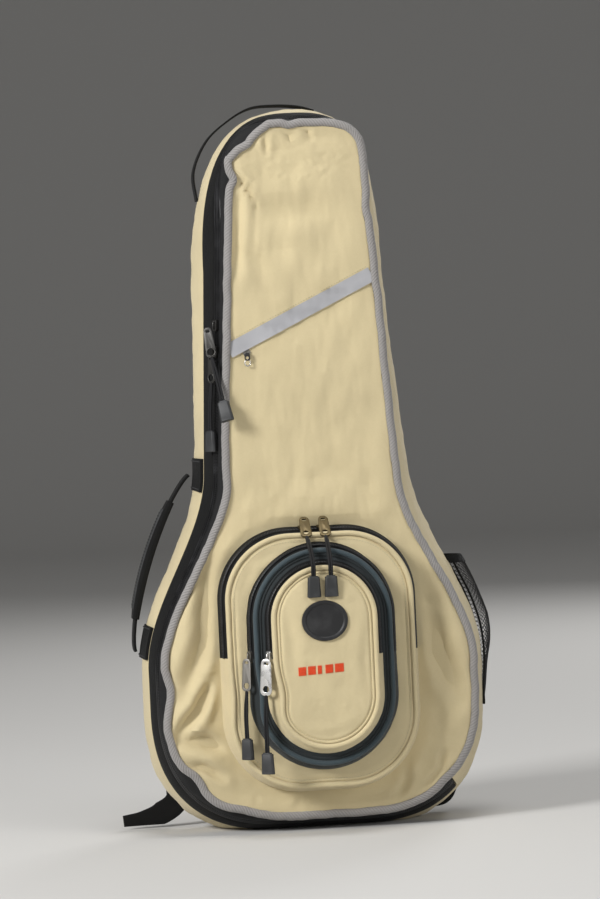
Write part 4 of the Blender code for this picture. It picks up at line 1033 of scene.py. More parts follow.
def tray_panel(name, ring, back_y, front_y, seed, creases):
    """A pocket's front: a puffed panel that turns back at its edge to meet the zip band."""
    out = outward_of(ring, True)
    low, high = ring[:, 1].min(), ring[:, 1].max()
    reach = ring[:, 0].max()
    spine_z = np.round(np.clip(ring[:, 1], low + reach, high - reach) / 0.002) * 0.002
    spine = np.stack([np.zeros(len(ring)), spine_z], axis=1)
    paired = pair_up(spine_z)
    face = [at_depth(ring - out * inset, y) for inset, y in
            ((0.0, back_y), (0.0, front_y + 0.0042), (0.0004, front_y + 0.0026))]
    start = ring - out * 0.0016
    for share in 1 - np.arange(TRAY_ROWS) / (TRAY_ROWS - 1):
        flat = spine + (start - spine) * share
        edge = np.linalg.norm(start - flat, axis=1)
        points = at_depth(flat, front_y + 0.0010)
        lift = (0.0010 * (1 - np.exp(-edge / 0.002)) + 0.002 * (1 - np.exp(-edge / 0.022))
                - 0.0016 * np.exp(-((edge - 0.0062) / 0.0011) ** 2)
                - 0.0022 * np.exp(-((edge - 0.0026) / 0.0009) ** 2))
        loose = ripple(points, 0.060, 0.0014, seed) + ripple(points, 0.018, 0.0005, seed + 2)
        loose += sum(crease(points, *fold) for fold in creases)
        lift += loose * (1 - np.exp(-edge / 0.010))
        points[:, 1] -= paired(lift) if share == 0 else lift
        face.append(points)
    within = ring - out * (TRAY_T + 0.002)
    under = [at_depth(spine + (within - spine) * share, front_y + TRAY_T + 0.0012)
             for share in np.arange(TRAY_ROWS) / (TRAY_ROWS - 1)]
    rows = np.array(face + under + [at_depth(ring - out * TRAY_T, back_y)])

    def calm_spine(shape):
        """Take out the slivers along the spine, and even out the cloth beside it."""
        bmesh.ops.dissolve_degenerate(shape, edges=shape.edges[:], dist=1e-6)
        between = [side for side in shape.faces
                   if all(abs(vert.co.x) < ON_SPINE for vert in side.verts)]
        bmesh.ops.delete(shape, geom=between, context="FACES")
        middle = [vert for vert in shape.verts if abs(vert.co.x) < 0.006
                  and rows[..., 2].min() + 0.03 < vert.co.z < rows[..., 2].max() - 0.03]
        for turn in range(10):
            bmesh.ops.smooth_vert(shape, verts=middle, factor=0.5, use_axis_y=True)
    piece = weld_spine(new_piece(name, rows.reshape(-1, 3), ring_faces(*rows.shape[:2], True)),
                       calm_spine)
    return piece, np.array(face)


def plain_tube(name, points, radius, material, body, ring=False, sides=10, node=None):
    """A round tube along a row of points, with its map in metres along and round it."""
    centres = np.array([tuple(point) for point in points])
    normals = []
    last = Vector((0.0, -1.0, 0.2))
    for direction in map(Vector, heading(centres, ring)):
        last = (last - direction * last.dot(direction)).normalized()
        normals.append(last[:])
    return dress(tube(name, centres, radius, radius, np.array(normals), sides, ring, 70), material,
                 body, node)


def pocket_coil(name, line, out, body):
    """The zip of a pocket: two rows of coil teeth that mesh on a low bed."""
    plain_tube(name + "_bed", line, 0.0016, coil_plastic, body, sides=8)
    way = walk(line)
    count = int(way[-1] / POCKET_TOOTH_PITCH)
    points = []
    faces = []
    for index in range(count):
        place = way[-1] * (index + 0.5) / count
        outward = unit(point_at(place, way, at_depth(out, 0.0)))
        ahead = np.cross(outward, (0.0, 1.0, 0.0))
        spot = point_at(place, way, line) + (0.0, 0.0007 if index % 2 else -0.0007, 0.0)
        faces += rod_faces(len(points), 2)
        for up, wide in ((0.0006, 1.0), (0.0021, 0.75)):
            points += [spot + outward * up + ahead * 0.00055 * a * wide
                       + np.array((0.0, 0.0016, 0.0)) * b * wide for a, b in CORNERS]
    coil_teeth(name, points, faces, body)


def pocket(name, outline, back_y, depth, material, slot, base, body, seed, creases, dent):
    """One pocket: band, coil, lower gusset, tray panel, self piping and its stitches."""
    # Slate pockets take the lighter copy of the slate cloth for their self piping: a painted
    # highlight on the welt.
    welt_cloth, thread = ((tan_nylon, tan_thread) if slot == "tan_nylon"
                          else (slate_welt_painted_highlight, black_thread))
    tray_y = back_y - depth * BAND_SHARE
    front_y = back_y - depth
    top, low = pocket_line(*outline)
    dress(band_strip("black_" + name + "_zip_band", top, back_y, tray_y, seed, 0.0006, dent),
          black_tape, base, name + "_zip_band")
    dress(band_strip(name + "_gusset_cloth", low, back_y, tray_y, seed + 1, 0.0012, dent), material,
          base, name + "_lower_gusset")
    out = outward_of(top)
    coil = at_depth(top - out * (flare_of(top, dent) * COIL_SHARE - 0.0008),
                    back_y + (tray_y - back_y) * COIL_SHARE)
    pocket_coil(name + "_coil", coil, out, base)
    ring = np.concatenate([top, low[1:-1]])
    ring_out = outward_of(ring, True)
    ring = ring - ring_out * flare_of(ring, dent)
    tray, face = tray_panel(name + "_front_cloth", ring, tray_y - SEAM, front_y, seed + 2, creases)
    dress(tray, material, body, name + "_panel")
    welt = ring - ring_out * 0.0014
    plain_tube(name + "_self_piping",
               at_depth(welt, front_y + 0.0016 + ripple(at_depth(welt, 0.0), 0.03, 0.0007, seed)),
               WELT_R, welt_cloth, body, ring=True, sides=12)
    seam = ring - ring_out * 0.0078
    stitches(name + "_stitches", [(x, face_depth(face, x, z), z)
                                  for x, z in np.vstack([seam, seam[:1]])], (0, -1, 0), 0.0022,
             0.0030, thread, body, 0.0003)
    return face


LARGE_CREASES = ((((-0.085, 0.250), (-0.070, 0.285), (-0.040, 0.300)), 0.006, 0.0014),
                 (((-0.080, 0.080), (-0.050, 0.060), (0.000, 0.054)), 0.005, 0.0016),
                 (((0.090, 0.150), (0.086, 0.200), (0.088, 0.240)), 0.005, 0.0014))
SMALL_CREASES = ((((-0.042, 0.240), (-0.035, 0.205), (-0.034, 0.175)), 0.006, 0.0018),
                 (((0.046, 0.220), (0.040, 0.180), (0.046, 0.140)), 0.005, 0.0012),
                 (((-0.030, 0.108), (0.000, 0.102), (0.030, 0.110)), 0.005, 0.0010))
pocket("large_pocket", (LARGE_HALF, LARGE_LOW_Z, LARGE_HIGH_Z, 0.080, 0.075), -0.0523, 0.030,
       tan_nylon, "tan_nylon", "lid", "large_pocket", 71.0, LARGE_CREASES, 0.0015)
pocket("middle_pocket", (0.0785, 0.0660, 0.3040, 0.0785, 0.0785), -0.0826, 0.020, slate_nylon,
       "slate_nylon", "large_pocket", "middle_pocket", 81.0, (), 0.0035)
small_face = pocket("small_pocket", (0.0610, 0.0845, 0.2865, 0.0610, 0.0610), -0.1029, 0.014,
                    tan_nylon, "tan_nylon", "middle_pocket", "small_pocket", 91.0, SMALL_CREASES,
                    0.0055)


# Zip sliders, tabs, cords and moulded grips. Each kind is modelled once at the origin, with x
# down the zip or the tab, y across it and z outward, and copied to its places.
DARK_NICKEL = (0.250, 0.236, 0.214)
BRIGHT_NICKEL = (0.700, 0.690, 0.670)
ANTIQUE_BRASS = (0.105, 0.082, 0.044)
GRIP_GREY = (0.024, 0.025, 0.026)
CORD_BLACK = (0.022, 0.022, 0.023)
CORD_PITCH = 0.0016
STRAND_R = 0.00125
CORD_WIDE = 0.0050
TAB_W = 0.0115
TAB_T = 0.0014
GRIP_L = 0.021
GRIP_W = 0.0145
GRIP_T = 0.0060


def settled():
    """The new solid, with its place, turn and size moved into its mesh."""
    bpy.ops.object.transform_apply(location=True, rotation=True, scale=True)
    return bpy.context.active_object


def hard_cube(size, place):
    """A block of a given size, with its middle at a given place."""
    bpy.ops.object.select_all(action="DESELECT")
    bpy.ops.mesh.primitive_cube_add(size=1.0, location=place, scale=size)
    return settled()


def hard_cylinder(radius, depth, place):
    """A round pin along z, with its middle at a given place."""
    bpy.ops.object.select_all(action="DESELECT")
    bpy.ops.mesh.primitive_cylinder_add(vertices=36, radius=radius, depth=depth, location=place)
    return settled()


def hard_ring(major, minor, place, turn=(0.0, 0.0, 0.0), stretch=(1.0, 1.0, 1.0)):
    """A smooth ring, turned first and then stretched."""
    bpy.ops.object.select_all(action="DESELECT")
    bpy.ops.mesh.primitive_torus_add(major_radius=major, minor_radius=minor, major_segments=36,
                                     minor_segments=12, location=(0, 0, 0), rotation=turn)
    ring = settled()
    ring.scale = stretch
    ring.location = place
    settled()
    bpy.ops.object.shade_smooth()
    return ring


def round_edges(piece, axis, offset, segments=6):
    """Round the edges of a block that run along one axis."""
    make_active(piece)
    mesh = piece.data
    mesh.polygons.foreach_set("select", [False] * len(mesh.polygons))
    mesh.vertices.foreach_set("select", [False] * len(mesh.vertices))
    for edge in mesh.edges:
        run = mesh.vertices[edge.vertices[0]].co - mesh.vertices[edge.vertices[1]].co
        edge.select = abs(run[axis]) > 0.99 * run.length
    bpy.ops.object.mode_set(mode="EDIT")
    bpy.ops.mesh.select_mode(type="EDGE")
    bpy.ops.mesh.bevel(offset=offset, segments=segments, affect="EDGES")
    bpy.ops.object.mode_set(mode="OBJECT")


def change(piece, kind, **settings):
    """Put a modifier on a piece and apply it at once."""
    make_active(piece)
    modifier = piece.modifiers.new("change", kind)
    for label, value in settings.items():
        setattr(modifier, label, value)
    bpy.ops.object.modifier_apply(modifier="change")


def cut_away(piece, cutter):
    """Take one solid away from another and delete it."""
    change(piece, "BOOLEAN", operation="DIFFERENCE", object=cutter)
    bpy.data.objects.remove(cutter)


def soften(piece, width=0.00025, segments=2):
    """A small bevel on every sharp edge, as tumbled and moulded parts have."""
    change(piece, "BEVEL", width=width, segments=segments, limit_method="ANGLE",
           angle_limit=radians(35))
    bpy.ops.object.shade_smooth_by_angle(angle=radians(40))


def joined(name, parts):
    """Several solids as one mesh, under one name."""
    make_active(parts[0])
    for part in parts:
        part.select_set(True)
    bpy.ops.object.join()
    parts[0].name = parts[0].data.name = name
    return parts[0]


def metal_values(body, colour, tarnish, roughness):
    """Plated metal: handling marks, fine scratches and tarnish in the corners."""
    smear = body.noise(130.0, 3.0)
    return (smear.ramp(0.45, 0.95, 0.5).mix(colour, tarnish),
            smear.times_plus(0.3, roughness) - 0.12,
            body.noise(2600.0, 2.0).times_plus(0.5, smear))


metal_group = make_group("handled_metal", {"Body Metres": None, "Colour": DARK_NICKEL,
                                           "Tarnish": DARK_NICKEL, "Roughness": 0.3},
                         ("Colour", "Roughness", "Height"), metal_values)


def metal_material(name, colour, tarnish, roughness):
    """Plated or bare metal, from the shared group."""
    return group_material(name, metal_group, {"Colour": colour, "Tarnish": tarnish,
                                              "Roughness": roughness}, 0.04, 0.00004,
                          {"Metallic": 1.0})


dark_nickel = metal_material("dark_nickel", DARK_NICKEL, (0.090, 0.085, 0.080), 0.40)
bright_nickel = metal_material("bright_nickel", BRIGHT_NICKEL, (0.42, 0.40, 0.38), 0.24)
main_nickel = metal_material("main_nickel", (0.082, 0.080, 0.076), (0.030, 0.029, 0.028), 0.44)
antique_brass = metal_material("antique_brass", ANTIQUE_BRASS, (0.050, 0.040, 0.026), 0.36)
grip_plastic = moulded_material("grip_plastic", GRIP_GREY, (0.050, 0.051, 0.053), 0.5)
pull_rubber = moulded_material("pull_rubber", (0.010, 0.010, 0.011), (0.026, 0.026, 0.027), 0.5)


def slider_model(length, width, tall):
    """A coil slider: two waisted wings on a neck, a flange down each side, and a bridge."""
    parts = []
    for height, share in ((tall * 0.14, 1.0), (tall * 0.52, 0.94)):
        parts.append(hard_cube((length * share, width * share, tall * 0.2), (0, 0, height)))
        round_edges(parts[-1], 2, width * 0.28)
    parts.append(hard_cube((length * 0.22, width * 0.22, tall * 0.4),
                           (length * 0.28, 0, tall * 0.33)))
    for side in (-1, 1):
        parts.append(hard_cube((length * 0.5, width * 0.1, tall * 0.16),
                               (-length * 0.12, side * width * 0.42, tall * 0.40)))
    for part in parts:
        soften(part)
    parts.append(hard_ring(tall * 0.44, tall * 0.13, (0, 0, tall * 0.58), (radians(90), 0, 0),
                           (length * 0.30 / (tall * 0.44), 1.6, 1.0)))
    return joined("slider_model", parts)


def tab_model(length, width, thick, hole, narrow, slot=True, eyelet=False):
    """A flat stamped tab, narrower at the top, with a plain or eyeletted hole at its foot."""
    tab = hard_cube((length, width, thick), (length / 2, 0, 0))
    round_edges(tab, 2, width * 0.42, 8)
    for vert in tab.data.vertices:
        vert.co.y *= narrow + (1 - narrow) * min(1.0, max(0.0, vert.co.x / length))
    hole_at = (length - width * 0.5, 0, 0)
    cut_away(tab, hard_cylinder(hole, thick * 4, hole_at))
    if slot:
        cut_away(tab, hard_cube((width * 0.22, width * 0.36, thick * 4), (width * 0.36, 0, 0)))
    soften(tab, 0.0003, 3)
    if eyelet:
        tab = joined("tab_model", [tab, hard_ring(hole + 0.0009, 0.0010, hole_at,
                                                  stretch=(1, 1, 1.5))])
    return tab


def grip_model():
    """A moulded grip: eight-sided, narrower at the top, with a ring where the cord enters."""
    body = hard_cube((GRIP_L, GRIP_W, GRIP_T), (GRIP_L / 2, 0, 0))
    round_edges(body, 0, GRIP_T * 0.30, 1)
    for vert in body.data.vertices:
        vert.co.y *= 0.86 + 0.14 * vert.co.x / GRIP_L
    soften(body, 0.0007, 3)
    lip = hard_cube((0.0016, GRIP_W * 0.62, GRIP_T * 0.8), (-0.0004, 0, 0))
    round_edges(lip, 0, GRIP_T * 0.28, 3)
    soften(lip)
    groove = hard_cube((GRIP_L * 0.06, GRIP_W * 0.94, GRIP_T * 1.03), (GRIP_L * 0.93, 0, 0))
    round_edges(groove, 0, GRIP_T * 0.30, 1)
    soften(groove)
    return joined("grip_model", [body, lip, groove])


def frame_at(place, down, out):
    """A matrix with x along a direction, z outward and y across both."""
    down = Vector(down).normalized()
    out = Vector(out)
    out = (out - down * out.dot(down)).normalized()
    turn = Matrix((down, out.cross(down), out)).transposed().to_4x4()
    return Matrix.Translation(Vector(place)) @ turn


def copy_to(model, name, matrix, material, body, node):
    """A copy of a model with its own mesh, moved to its place and given its material."""
    piece = model.copy()
    piece.data = model.data.copy()
    piece.name = piece.data.name = name
    piece.data.transform(matrix)
    piece.data.materials.clear()
    bpy.context.scene.collection.objects.link(piece)
    return dress(piece, material, body, node)


def smooth_points(points, per_span=10):
    """Points on a smooth curve through a cord's route."""
    route = np.array(points, float)
    ends = np.vstack([route[:1] * 2 - route[1:2], route, route[-1:] * 2 - route[-2:-1]])
    t = (np.arange(per_span) / per_span)[:, None]
    spans = [0.5 * (2 * b + (c - a) * t + (2 * a - 5 * b + 4 * c - d) * t ** 2
                    + (3 * b - a - 3 * c + d) * t ** 3)
             for a, b, c, d in zip(ends, ends[1:], ends[2:], ends[3:])]
    return np.vstack(spans + [route[-1:]])


def cord_values(cloth, body, pitch):
    """Braided cord: two sets of strands that cross, with a little fuzz."""
    along, around = cloth.part(0) / pitch, cloth.part(1) / pitch
    left, right = ((along + around) * pi).each("SINE"), ((along - around) * pi).each("SINE")
    weave = (left * right).each("ABSOLUTE")
    shade = body.noise(1400.0, 2.0).times_plus(0.4, weave * 0.6)
    return shade.mix((0.003, 0.003, 0.004), (0.020, 0.020, 0.021)), weave


cord_group = make_group("braided_cord", {"Cloth Metres": None, "Body Metres": None,
                                         "Pitch": CORD_PITCH}, ("Colour", "Height"), cord_values)
cord_cloth = group_material("black_cord", cord_group, {"Thread": CORD_BLACK}, 0.7, 0.0003,
                            {"Sheen Weight": 0.04, "Specular IOR Level": 0.25})


def doubled_cord(name, route, out, body, node):
    """A cord that runs through the tab's hole and back, with both ends in a moulded grip."""
    line = smooth_points(route)
    ahead = heading(line)
    room = CORD_WIDE / 2 - STRAND_R
    spread = room * np.minimum(1.0, 0.35 + np.arange(len(line)) * 0.12)
    side = unit(np.cross(ahead, out)) * spread[:, None]
    top = line[0] - ahead[0] * room
    end = ahead[-1] * 0.004
    strand = np.vstack([line[-1] + side[-1] + end, (line + side)[::-1], top + side[0] * 0.4,
                        top - side[0] * 0.4, line - side, line[-1] - side[-1] + end])
    cord = plain_tube(name, smooth_points(strand, 3), STRAND_R, cord_cloth, body,
                      node=node)
    grip = copy_to(grips, name + "_grip", frame_at(line[-1] + ahead[-1] * 0.0012, ahead[-1], out),
                   grip_plastic, body, None)
    path = np.vstack([top, line, line[-1] + end])


big_slider = slider_model(0.013, 0.0085, 0.0045)
side_slider = slider_model(0.013, 0.0068, 0.0045)
grips = grip_model()
long_tab = tab_model(0.034, TAB_W, TAB_T, 0.0032, 0.80)
lower_tab = tab_model(0.030, TAB_W, TAB_T, 0.0034, 0.72, True, True)
upper_tab = tab_model(0.032, TAB_W, TAB_T, 0.0036, 0.72, True, True)
small_tab = tab_model(0.038, TAB_W * 1.18, TAB_T, 0.0034, 0.82)
brass_tab = tab_model(0.0300, TAB_W * 1.1, TAB_T * 1.3, 0.0027, 0.80)

MAIN_ALONG = (0.05576, 0.0, 0.99844)
MAIN_OUT = (-0.88526, -0.46246, 0.04944)
for which, model, turned, place, start, lean, route in (
        ("upper", upper_tab, (-0.28, -0.96, 0.0), (-0.09030, -0.03623, 0.53402),
         (-0.10054, -0.04150, 0.53199), (0.10, -0.16, -0.98),
         ((-0.0972, -0.0468, 0.4993), (-0.0935, -0.0567, 0.4765), (-0.0897, -0.0632, 0.4545))),
        ("lower", lower_tab, (-0.78, -0.62, 0.0), (-0.09187, -0.03623, 0.50602),
         (-0.09750, -0.03910, 0.50374), (-0.02999, 0.0, -0.99955),
         ((-0.09844, -0.03910, 0.47235), (-0.10124, -0.03910, 0.44817),
          (-0.10194, -0.03910, 0.424)))):
    copy_to(big_slider, "main_" + which + "_slider", frame_at(place, MAIN_ALONG, MAIN_OUT),
            main_nickel, "main_slider_" + which, "main_slider_" + which)
    copy_to(model, "main_" + which + "_tab", frame_at(start, lean, turned), main_nickel,
            "main_tab_" + which, "main_tab_" + which)
    doubled_cord("main_" + which + "_cord", route, turned, "main_tab_" + which,
                 "main_cord_" + which)

LARGE_OUT = (0.0, -0.37323, 0.92774)
for which, across in (("left", -0.011), ("right", 0.009)):
    start = Vector((across, -0.06330, 0.32900))
    end = Vector((across, -0.08602, 0.30929))
    copy_to(big_slider, "large_" + which + "_slider",
            frame_at((across, -0.06032, 0.31681), (1, 0, 0), LARGE_OUT), antique_brass,
            "large_slider_" + which, "large_slider_" + which)
    copy_to(brass_tab, "large_" + which + "_tab", frame_at(start, end - start, LARGE_OUT),
            antique_brass, "large_cord_" + which, None)
    doubled_cord("large_" + which + "_cord",
                 (end, (across * 0.95, -0.10421, 0.30029), (across * 0.9, -0.1224, 0.28329),
                  (across * 0.9, -0.1224, 0.27029)), (0, -1, 0), "large_cord_" + which,
                 "large_cord_" + which)

for which, model, metal, slot, place, out, turned, pivot, lean, route in (
        ("middle", long_tab, dark_nickel, "dark_nickel", (-0.07543, -0.08866, 0.188),
         (-0.85619, -0.51666, 0.0), (-0.62, -0.78, 0.0), (-0.08014, -0.0915, 0.1867),
         (-0.05128, -0.03094, -0.9982), ((-0.08195, -0.0926, 0.15136),
                                         (-0.08375, -0.09368, 0.12768),
                                         (-0.08375, -0.09368, 0.104))),
        ("small", small_tab, bright_nickel, "bright_nickel", (-0.05788, -0.10729, 0.188),
         (-0.75741, -0.65294, 0.0), (-0.50, -0.87, 0.0), (-0.06204, -0.11088, 0.1867),
         (-0.04536, -0.03911, -0.9982), ((-0.06383, -0.11242, 0.14737),
                                         (-0.06542, -0.11379, 0.11869),
                                         (-0.06542, -0.11379, 0.09)))):
    copy_to(side_slider, which + "_zip_slider", frame_at(place, (0, 0, 1), out), metal,
            which + "_slider", which + "_slider")
    copy_to(model, which + "_zip_tab", frame_at(pivot, lean, turned), metal, which + "_tab",
            which + "_tab")
    doubled_cord(which + "_zip_cord", route, turned, which + "_tab", which + "_cord")

small_model = slider_model(0.008, 0.005, 0.003)
DOC_X = -0.06122
DOC_Z = 0.50392
doc_depth = face_depth(front_face, DOC_X, DOC_Z, 6)
copy_to(small_model, "document_zip_slider",
        frame_at((DOC_X, doc_depth, DOC_Z), (0.90105, 0.0, 0.43372), (0, -1, 0)),
        dark_nickel, "document_slider", "document_slider")
doc_tab = tab_model(0.0085, 0.006, 0.0016, 0.0016, 0.9, False)
doc_loop = hard_ring(0.0029, 0.0006, (0.0108, 0, 0), stretch=(1.15, 1.0, 1.0))
doc_matrix = frame_at((DOC_X, doc_depth - 0.0044, DOC_Z), (0, 0, -1), (0, -1, 0))
copy_to(doc_tab, "document_zip_pull", doc_matrix, pull_rubber, "document_pull", "document_pull")
copy_to(doc_loop, "document_zip_loop", doc_matrix, bright_nickel, "document_pull", None)
for model in (big_slider, side_slider, small_model, grips, long_tab, lower_tab, upper_tab,
              small_tab, brass_tab, doc_tab, doc_loop):
    bpy.data.objects.remove(model)


# Badge on the small pocket: a blank oval of moulded rubber with a raised rim, and under it five
# plain bars of satin stitch.
BADGE_Z = 0.2235
BADGE_HALF_W = 0.024
BADGE_HALF_H = 0.021
BAR_Z = 0.1735
SATIN_PITCH = 0.00062
ORANGE = (0.930, 0.115, 0.035)

badge_back = max(face_depth(small_face, across, BADGE_Z) for across in (-0.018, 0.0, 0.018))
turns = 2 * pi * np.arange(96) / 96
badge_rows = [at_depth(np.stack([BADGE_HALF_W * share * np.cos(turns),
                                 BADGE_Z + BADGE_HALF_H * share * np.sin(turns)], axis=1),
                       badge_back - lift - 0.0006)
              for share, lift in ((1.0, -0.0012), (1.0, 0.0014), (0.98, 0.0020), (0.93, 0.0023),
                                  (0.86, 0.0020), (0.82, 0.0013), (0.80, 0.0009), (0.60, 0.0009),
                                  (0.30, 0.0010), (0.02, 0.0010))]
dress(skin("blank_badge", badge_rows, smooth=30), pull_rubber, "small_pocket", "badge")

bar_points = []
bar_faces = []
for start, end in ((-0.0295, -0.0215), (-0.0195, -0.0115), (-0.0095, -0.0055), (-0.0015, 0.0065),
                   (0.0085, 0.0175)):
    for place in np.arange(start, end, SATIN_PITCH):
        bar_faces += rod_faces(len(bar_points), 4)
        for rise, size in ((-0.0046, 0.4), (-0.0036, 1.0), (0.0036, 1.0), (0.0046, 0.4)):
            y = face_depth(small_face, place, BAR_Z + rise) - 0.0002
            bar_points += [(place + 0.0003 * size * a, y - 0.0004 * size * b,
                            BAR_Z + rise + place * 0.05) for a, b in QUARTERS]
bars = new_piece("satin_bars", bar_points, bar_faces)
face_outward(bars, 60)
dress(bars, thread_material("orange_thread", ORANGE), "small_pocket")


# Side handle and hang loop: flat webbing laid along its own route, with a rounded selvedge.
# The handle's webbing is sewn across the gusset in two wide patches.
HANDLE_Y = 0.029
HANDLE_LOW_Z = 0.190
HANDLE_HIGH_Z = 0.376
HANDLE_WEB_W = 0.026
GRIP_SHARE = 0.17
LOOP_Y = 0.032
LOOP_W = 0.022
LOOP_T = 0.002
HEAD_WIDE = 0.108
HEAD_Z = 0.560
HEAD_RISE = 0.200
LOOP_ROUTE = ((0.917, 0.540), (0.935, 0.695), (0.796, 0.855), (0.574, 0.960), (0.352, 1.022),
              (0.111, 1.032), (-0.120, 1.022), (-0.280, 0.997))
WEB_HALF = ((-1, 0), (-0.985, 0.7), (-0.94, 1), (-0.5, 1.02), (0, 1.0), (0.5, 1.02), (0.94, 1),
            (0.985, 0.7), (1, 0))
WEB_SECTION = WEB_HALF + tuple((a, -min(b, 1.0)) for a, b in WEB_HALF[-2:0:-1])

edge_ring = shell_ring(fine_round, WIDEST_Y)
left_side = edge_ring[edge_ring[:, 0] < -0.08]


def left_edge(z):
    """How far left the shell reaches at one height."""
    return float(left_side[np.argmin(np.abs(left_side[:, 2] - z)), 0])


def webbing_strip(name, line, wide_way, widths, thicks, material, body, node):
    """Flat webbing along a line, with sixteen points round each section and soft selvedges."""
    centres = np.asarray(line, float)
    ahead = heading(centres)
    wide_way = np.broadcast_to(wide_way, centres.shape)
    wide_way = unit(wide_way - ahead * (wide_way * ahead).sum(axis=1)[:, None])
    wide = wide_way * np.broadcast_to(widths, len(centres))[:, None] / 2
    out = np.cross(ahead, wide_way) * np.broadcast_to(thicks, len(centres))[:, None] / 2
    sections = np.stack([centres + wide * a + out * b for a, b in WEB_SECTION], axis=1)
    return dress(skin(name, sections, smooth=60), material, body, node)


handle_foot, handle_head = (np.array((left_edge(z) - 0.002, HANDLE_Y, z))
                            for z in (HANDLE_LOW_Z, HANDLE_HIGH_Z))
handle_out = unit(np.cross((0, 1, 0), handle_head - handle_foot))
handle_out *= -np.sign(handle_out[0])


def handle_line(start, end, count, lift=0.0):
    """The arched line of the handle between two shares of its length."""
    shares = np.linspace(start, end, count)[:, None]
    rise = 0.017 * np.sin(pi * shares) ** 0.6 + 0.0045 + lift
    return handle_foot + (handle_head - handle_foot) * shares + handle_out * rise


for which, start, end in (("lower", 0.004, GRIP_SHARE + 0.01),
                          ("upper", 1 - GRIP_SHARE - 0.01, 0.996)):
    webbing_strip("handle_" + which + "_riser", handle_line(start, end, 24), (0, 1, 0),
                  HANDLE_WEB_W, 0.0030, black_tape, "shell", "handle_anchor_" + which)

swell = np.sin(pi * np.linspace(0.02, 0.98, 60)) ** 0.5
webbing_strip("handle_grip_sleeve", handle_line(GRIP_SHARE, 1 - GRIP_SHARE, 60), (0, 1, 0),
              HANDLE_WEB_W + 0.004 * swell, 0.0060 + 0.003 * swell, black_tape, "side_handle",
              "side_handle_grip")
webbing_strip("handle_grip_face", handle_line(0.22, 0.78, 50, 0.0043), (0, 1, 0), 0.0215, 0.0014,
              grip_plastic, "side_handle", None)
for offset in (-0.0092, 0.0092):
    stitches("handle_grip_stitches", handle_line(0.225, 0.775, 60, 0.0051) + (0, offset, 0),
             handle_out, 0.0024, 0.0034, black_thread, "side_handle")

for which, low_z, high_z in (("lower", 0.186, 0.220), ("upper", 0.361, 0.395)):
    ends = sorted(share_near((left_edge(z), z), WIDEST_Y) for z in (high_z, low_z))
    patch = gusset("handle_" + which + "_patch", np.linspace(*ends, 30),
                   np.linspace(TAPE_BACK_Y + 0.0005, HANDLE_Y + HANDLE_WEB_W / 2, 26), 0.0030,
                   False, 3.0, 0.0003, inset=-0.0034)
    dress(patch, black_tape, "shell", None)
    for share in (0.08, 0.92):
        at = np.array([ends[0] + (ends[1] - ends[0]) * share])
        line = np.concatenate([shell_ring(at, y, -0.0037)
                               for y in np.linspace(TAPE_BACK_Y + 0.002, HANDLE_Y + 0.011, 26)])
        stitches("handle_" + which + "_bar_tack", line, (-1, 0, 0), 0.0026, 0.0036, black_thread,
                 "shell", 0.0005)

loop_line = smooth_points([(-HEAD_WIDE * across, LOOP_Y, HEAD_Z + HEAD_RISE * up)
                           for across, up in LOOP_ROUTE], 12)
hang_loop = webbing_strip("hang_loop_webbing", loop_line, (0, 1, 0), LOOP_W, LOOP_T, black_tape,
                          "hang_loop", "hang_loop")


# Mesh pocket on the right: an open net of round yarns, hemmed at its foot and sides, with a
# folded binding along its mouth.
MESH_LOW_Z = 0.118
MESH_HIGH_Z = 0.279
MESH_FRONT_Y = 0.004
MESH_BACK_Y = 0.044
MESH_BULGE = 0.017
NET_ACROSS = 22
NET_UP = 66


def net_point(across, up):
    """A point of the mesh pocket, at shares of its width and of its height."""
    z = MESH_LOW_Z + (MESH_HIGH_Z - MESH_LOW_Z) * up
    rise = MESH_BULGE * min(1.0, 0.05 + 1.6 * up) * seam_free(across, 0.6)
    sag = 0.0012 * noise.noise(Vector((across * 3, up * 5, 2.0)))
    return (-left_edge(z) + 0.0010 + rise + sag,
            MESH_FRONT_Y + (MESH_BACK_Y - MESH_FRONT_Y) * across, z)


net_index = {}
net_faces = [[net_index.setdefault(corner, len(net_index)) for corner in
              ((column, row - 1), (column + 1, row), (column, row + 1), (column - 1, row))]
             for row in range(1, NET_UP) for column in range(1, NET_ACROSS) if (row + column) % 2]
net = new_piece("mesh_pocket_net", [net_point(column / NET_ACROSS, row / NET_UP * 0.95)
                                    for column, row in net_index], net_faces)
change(net, "WIREFRAME", thickness=0.0009, use_even_offset=False, use_boundary=True)
bpy.ops.object.shade_smooth()
dress(net, thread_material("net_yarn", (0.020, 0.020, 0.022)), "shell", "mesh_pocket")
hem = [net_point(0.02, share) for share in np.linspace(0.95, 0.0, 40)]
hem += [net_point(share, 0.0) for share in np.linspace(0.05, 0.95, 20)]
hem += [net_point(0.98, share) for share in np.linspace(0.0, 0.95, 40)]
plain_tube("mesh_pocket_hem", hem, 0.0012, black_tape, "shell", sides=8)
mouth_rows = [[np.array(net_point(across, up)) + (off, 0, down) for up, off, down in
               ((0.945, 0.0014, 0), (0.998, 0.0014, -0.001), (0.998, 0.0006, 0),
                (0.998, -0.0006, 0), (0.998, -0.0014, -0.001), (0.945, -0.0014, 0))]
              for across in np.linspace(0.0, 1.0, 40)]
dress(skin("mesh_pocket_mouth", mouth_rows, smooth=60), black_tape, "shell",
      "mesh_pocket_binding")
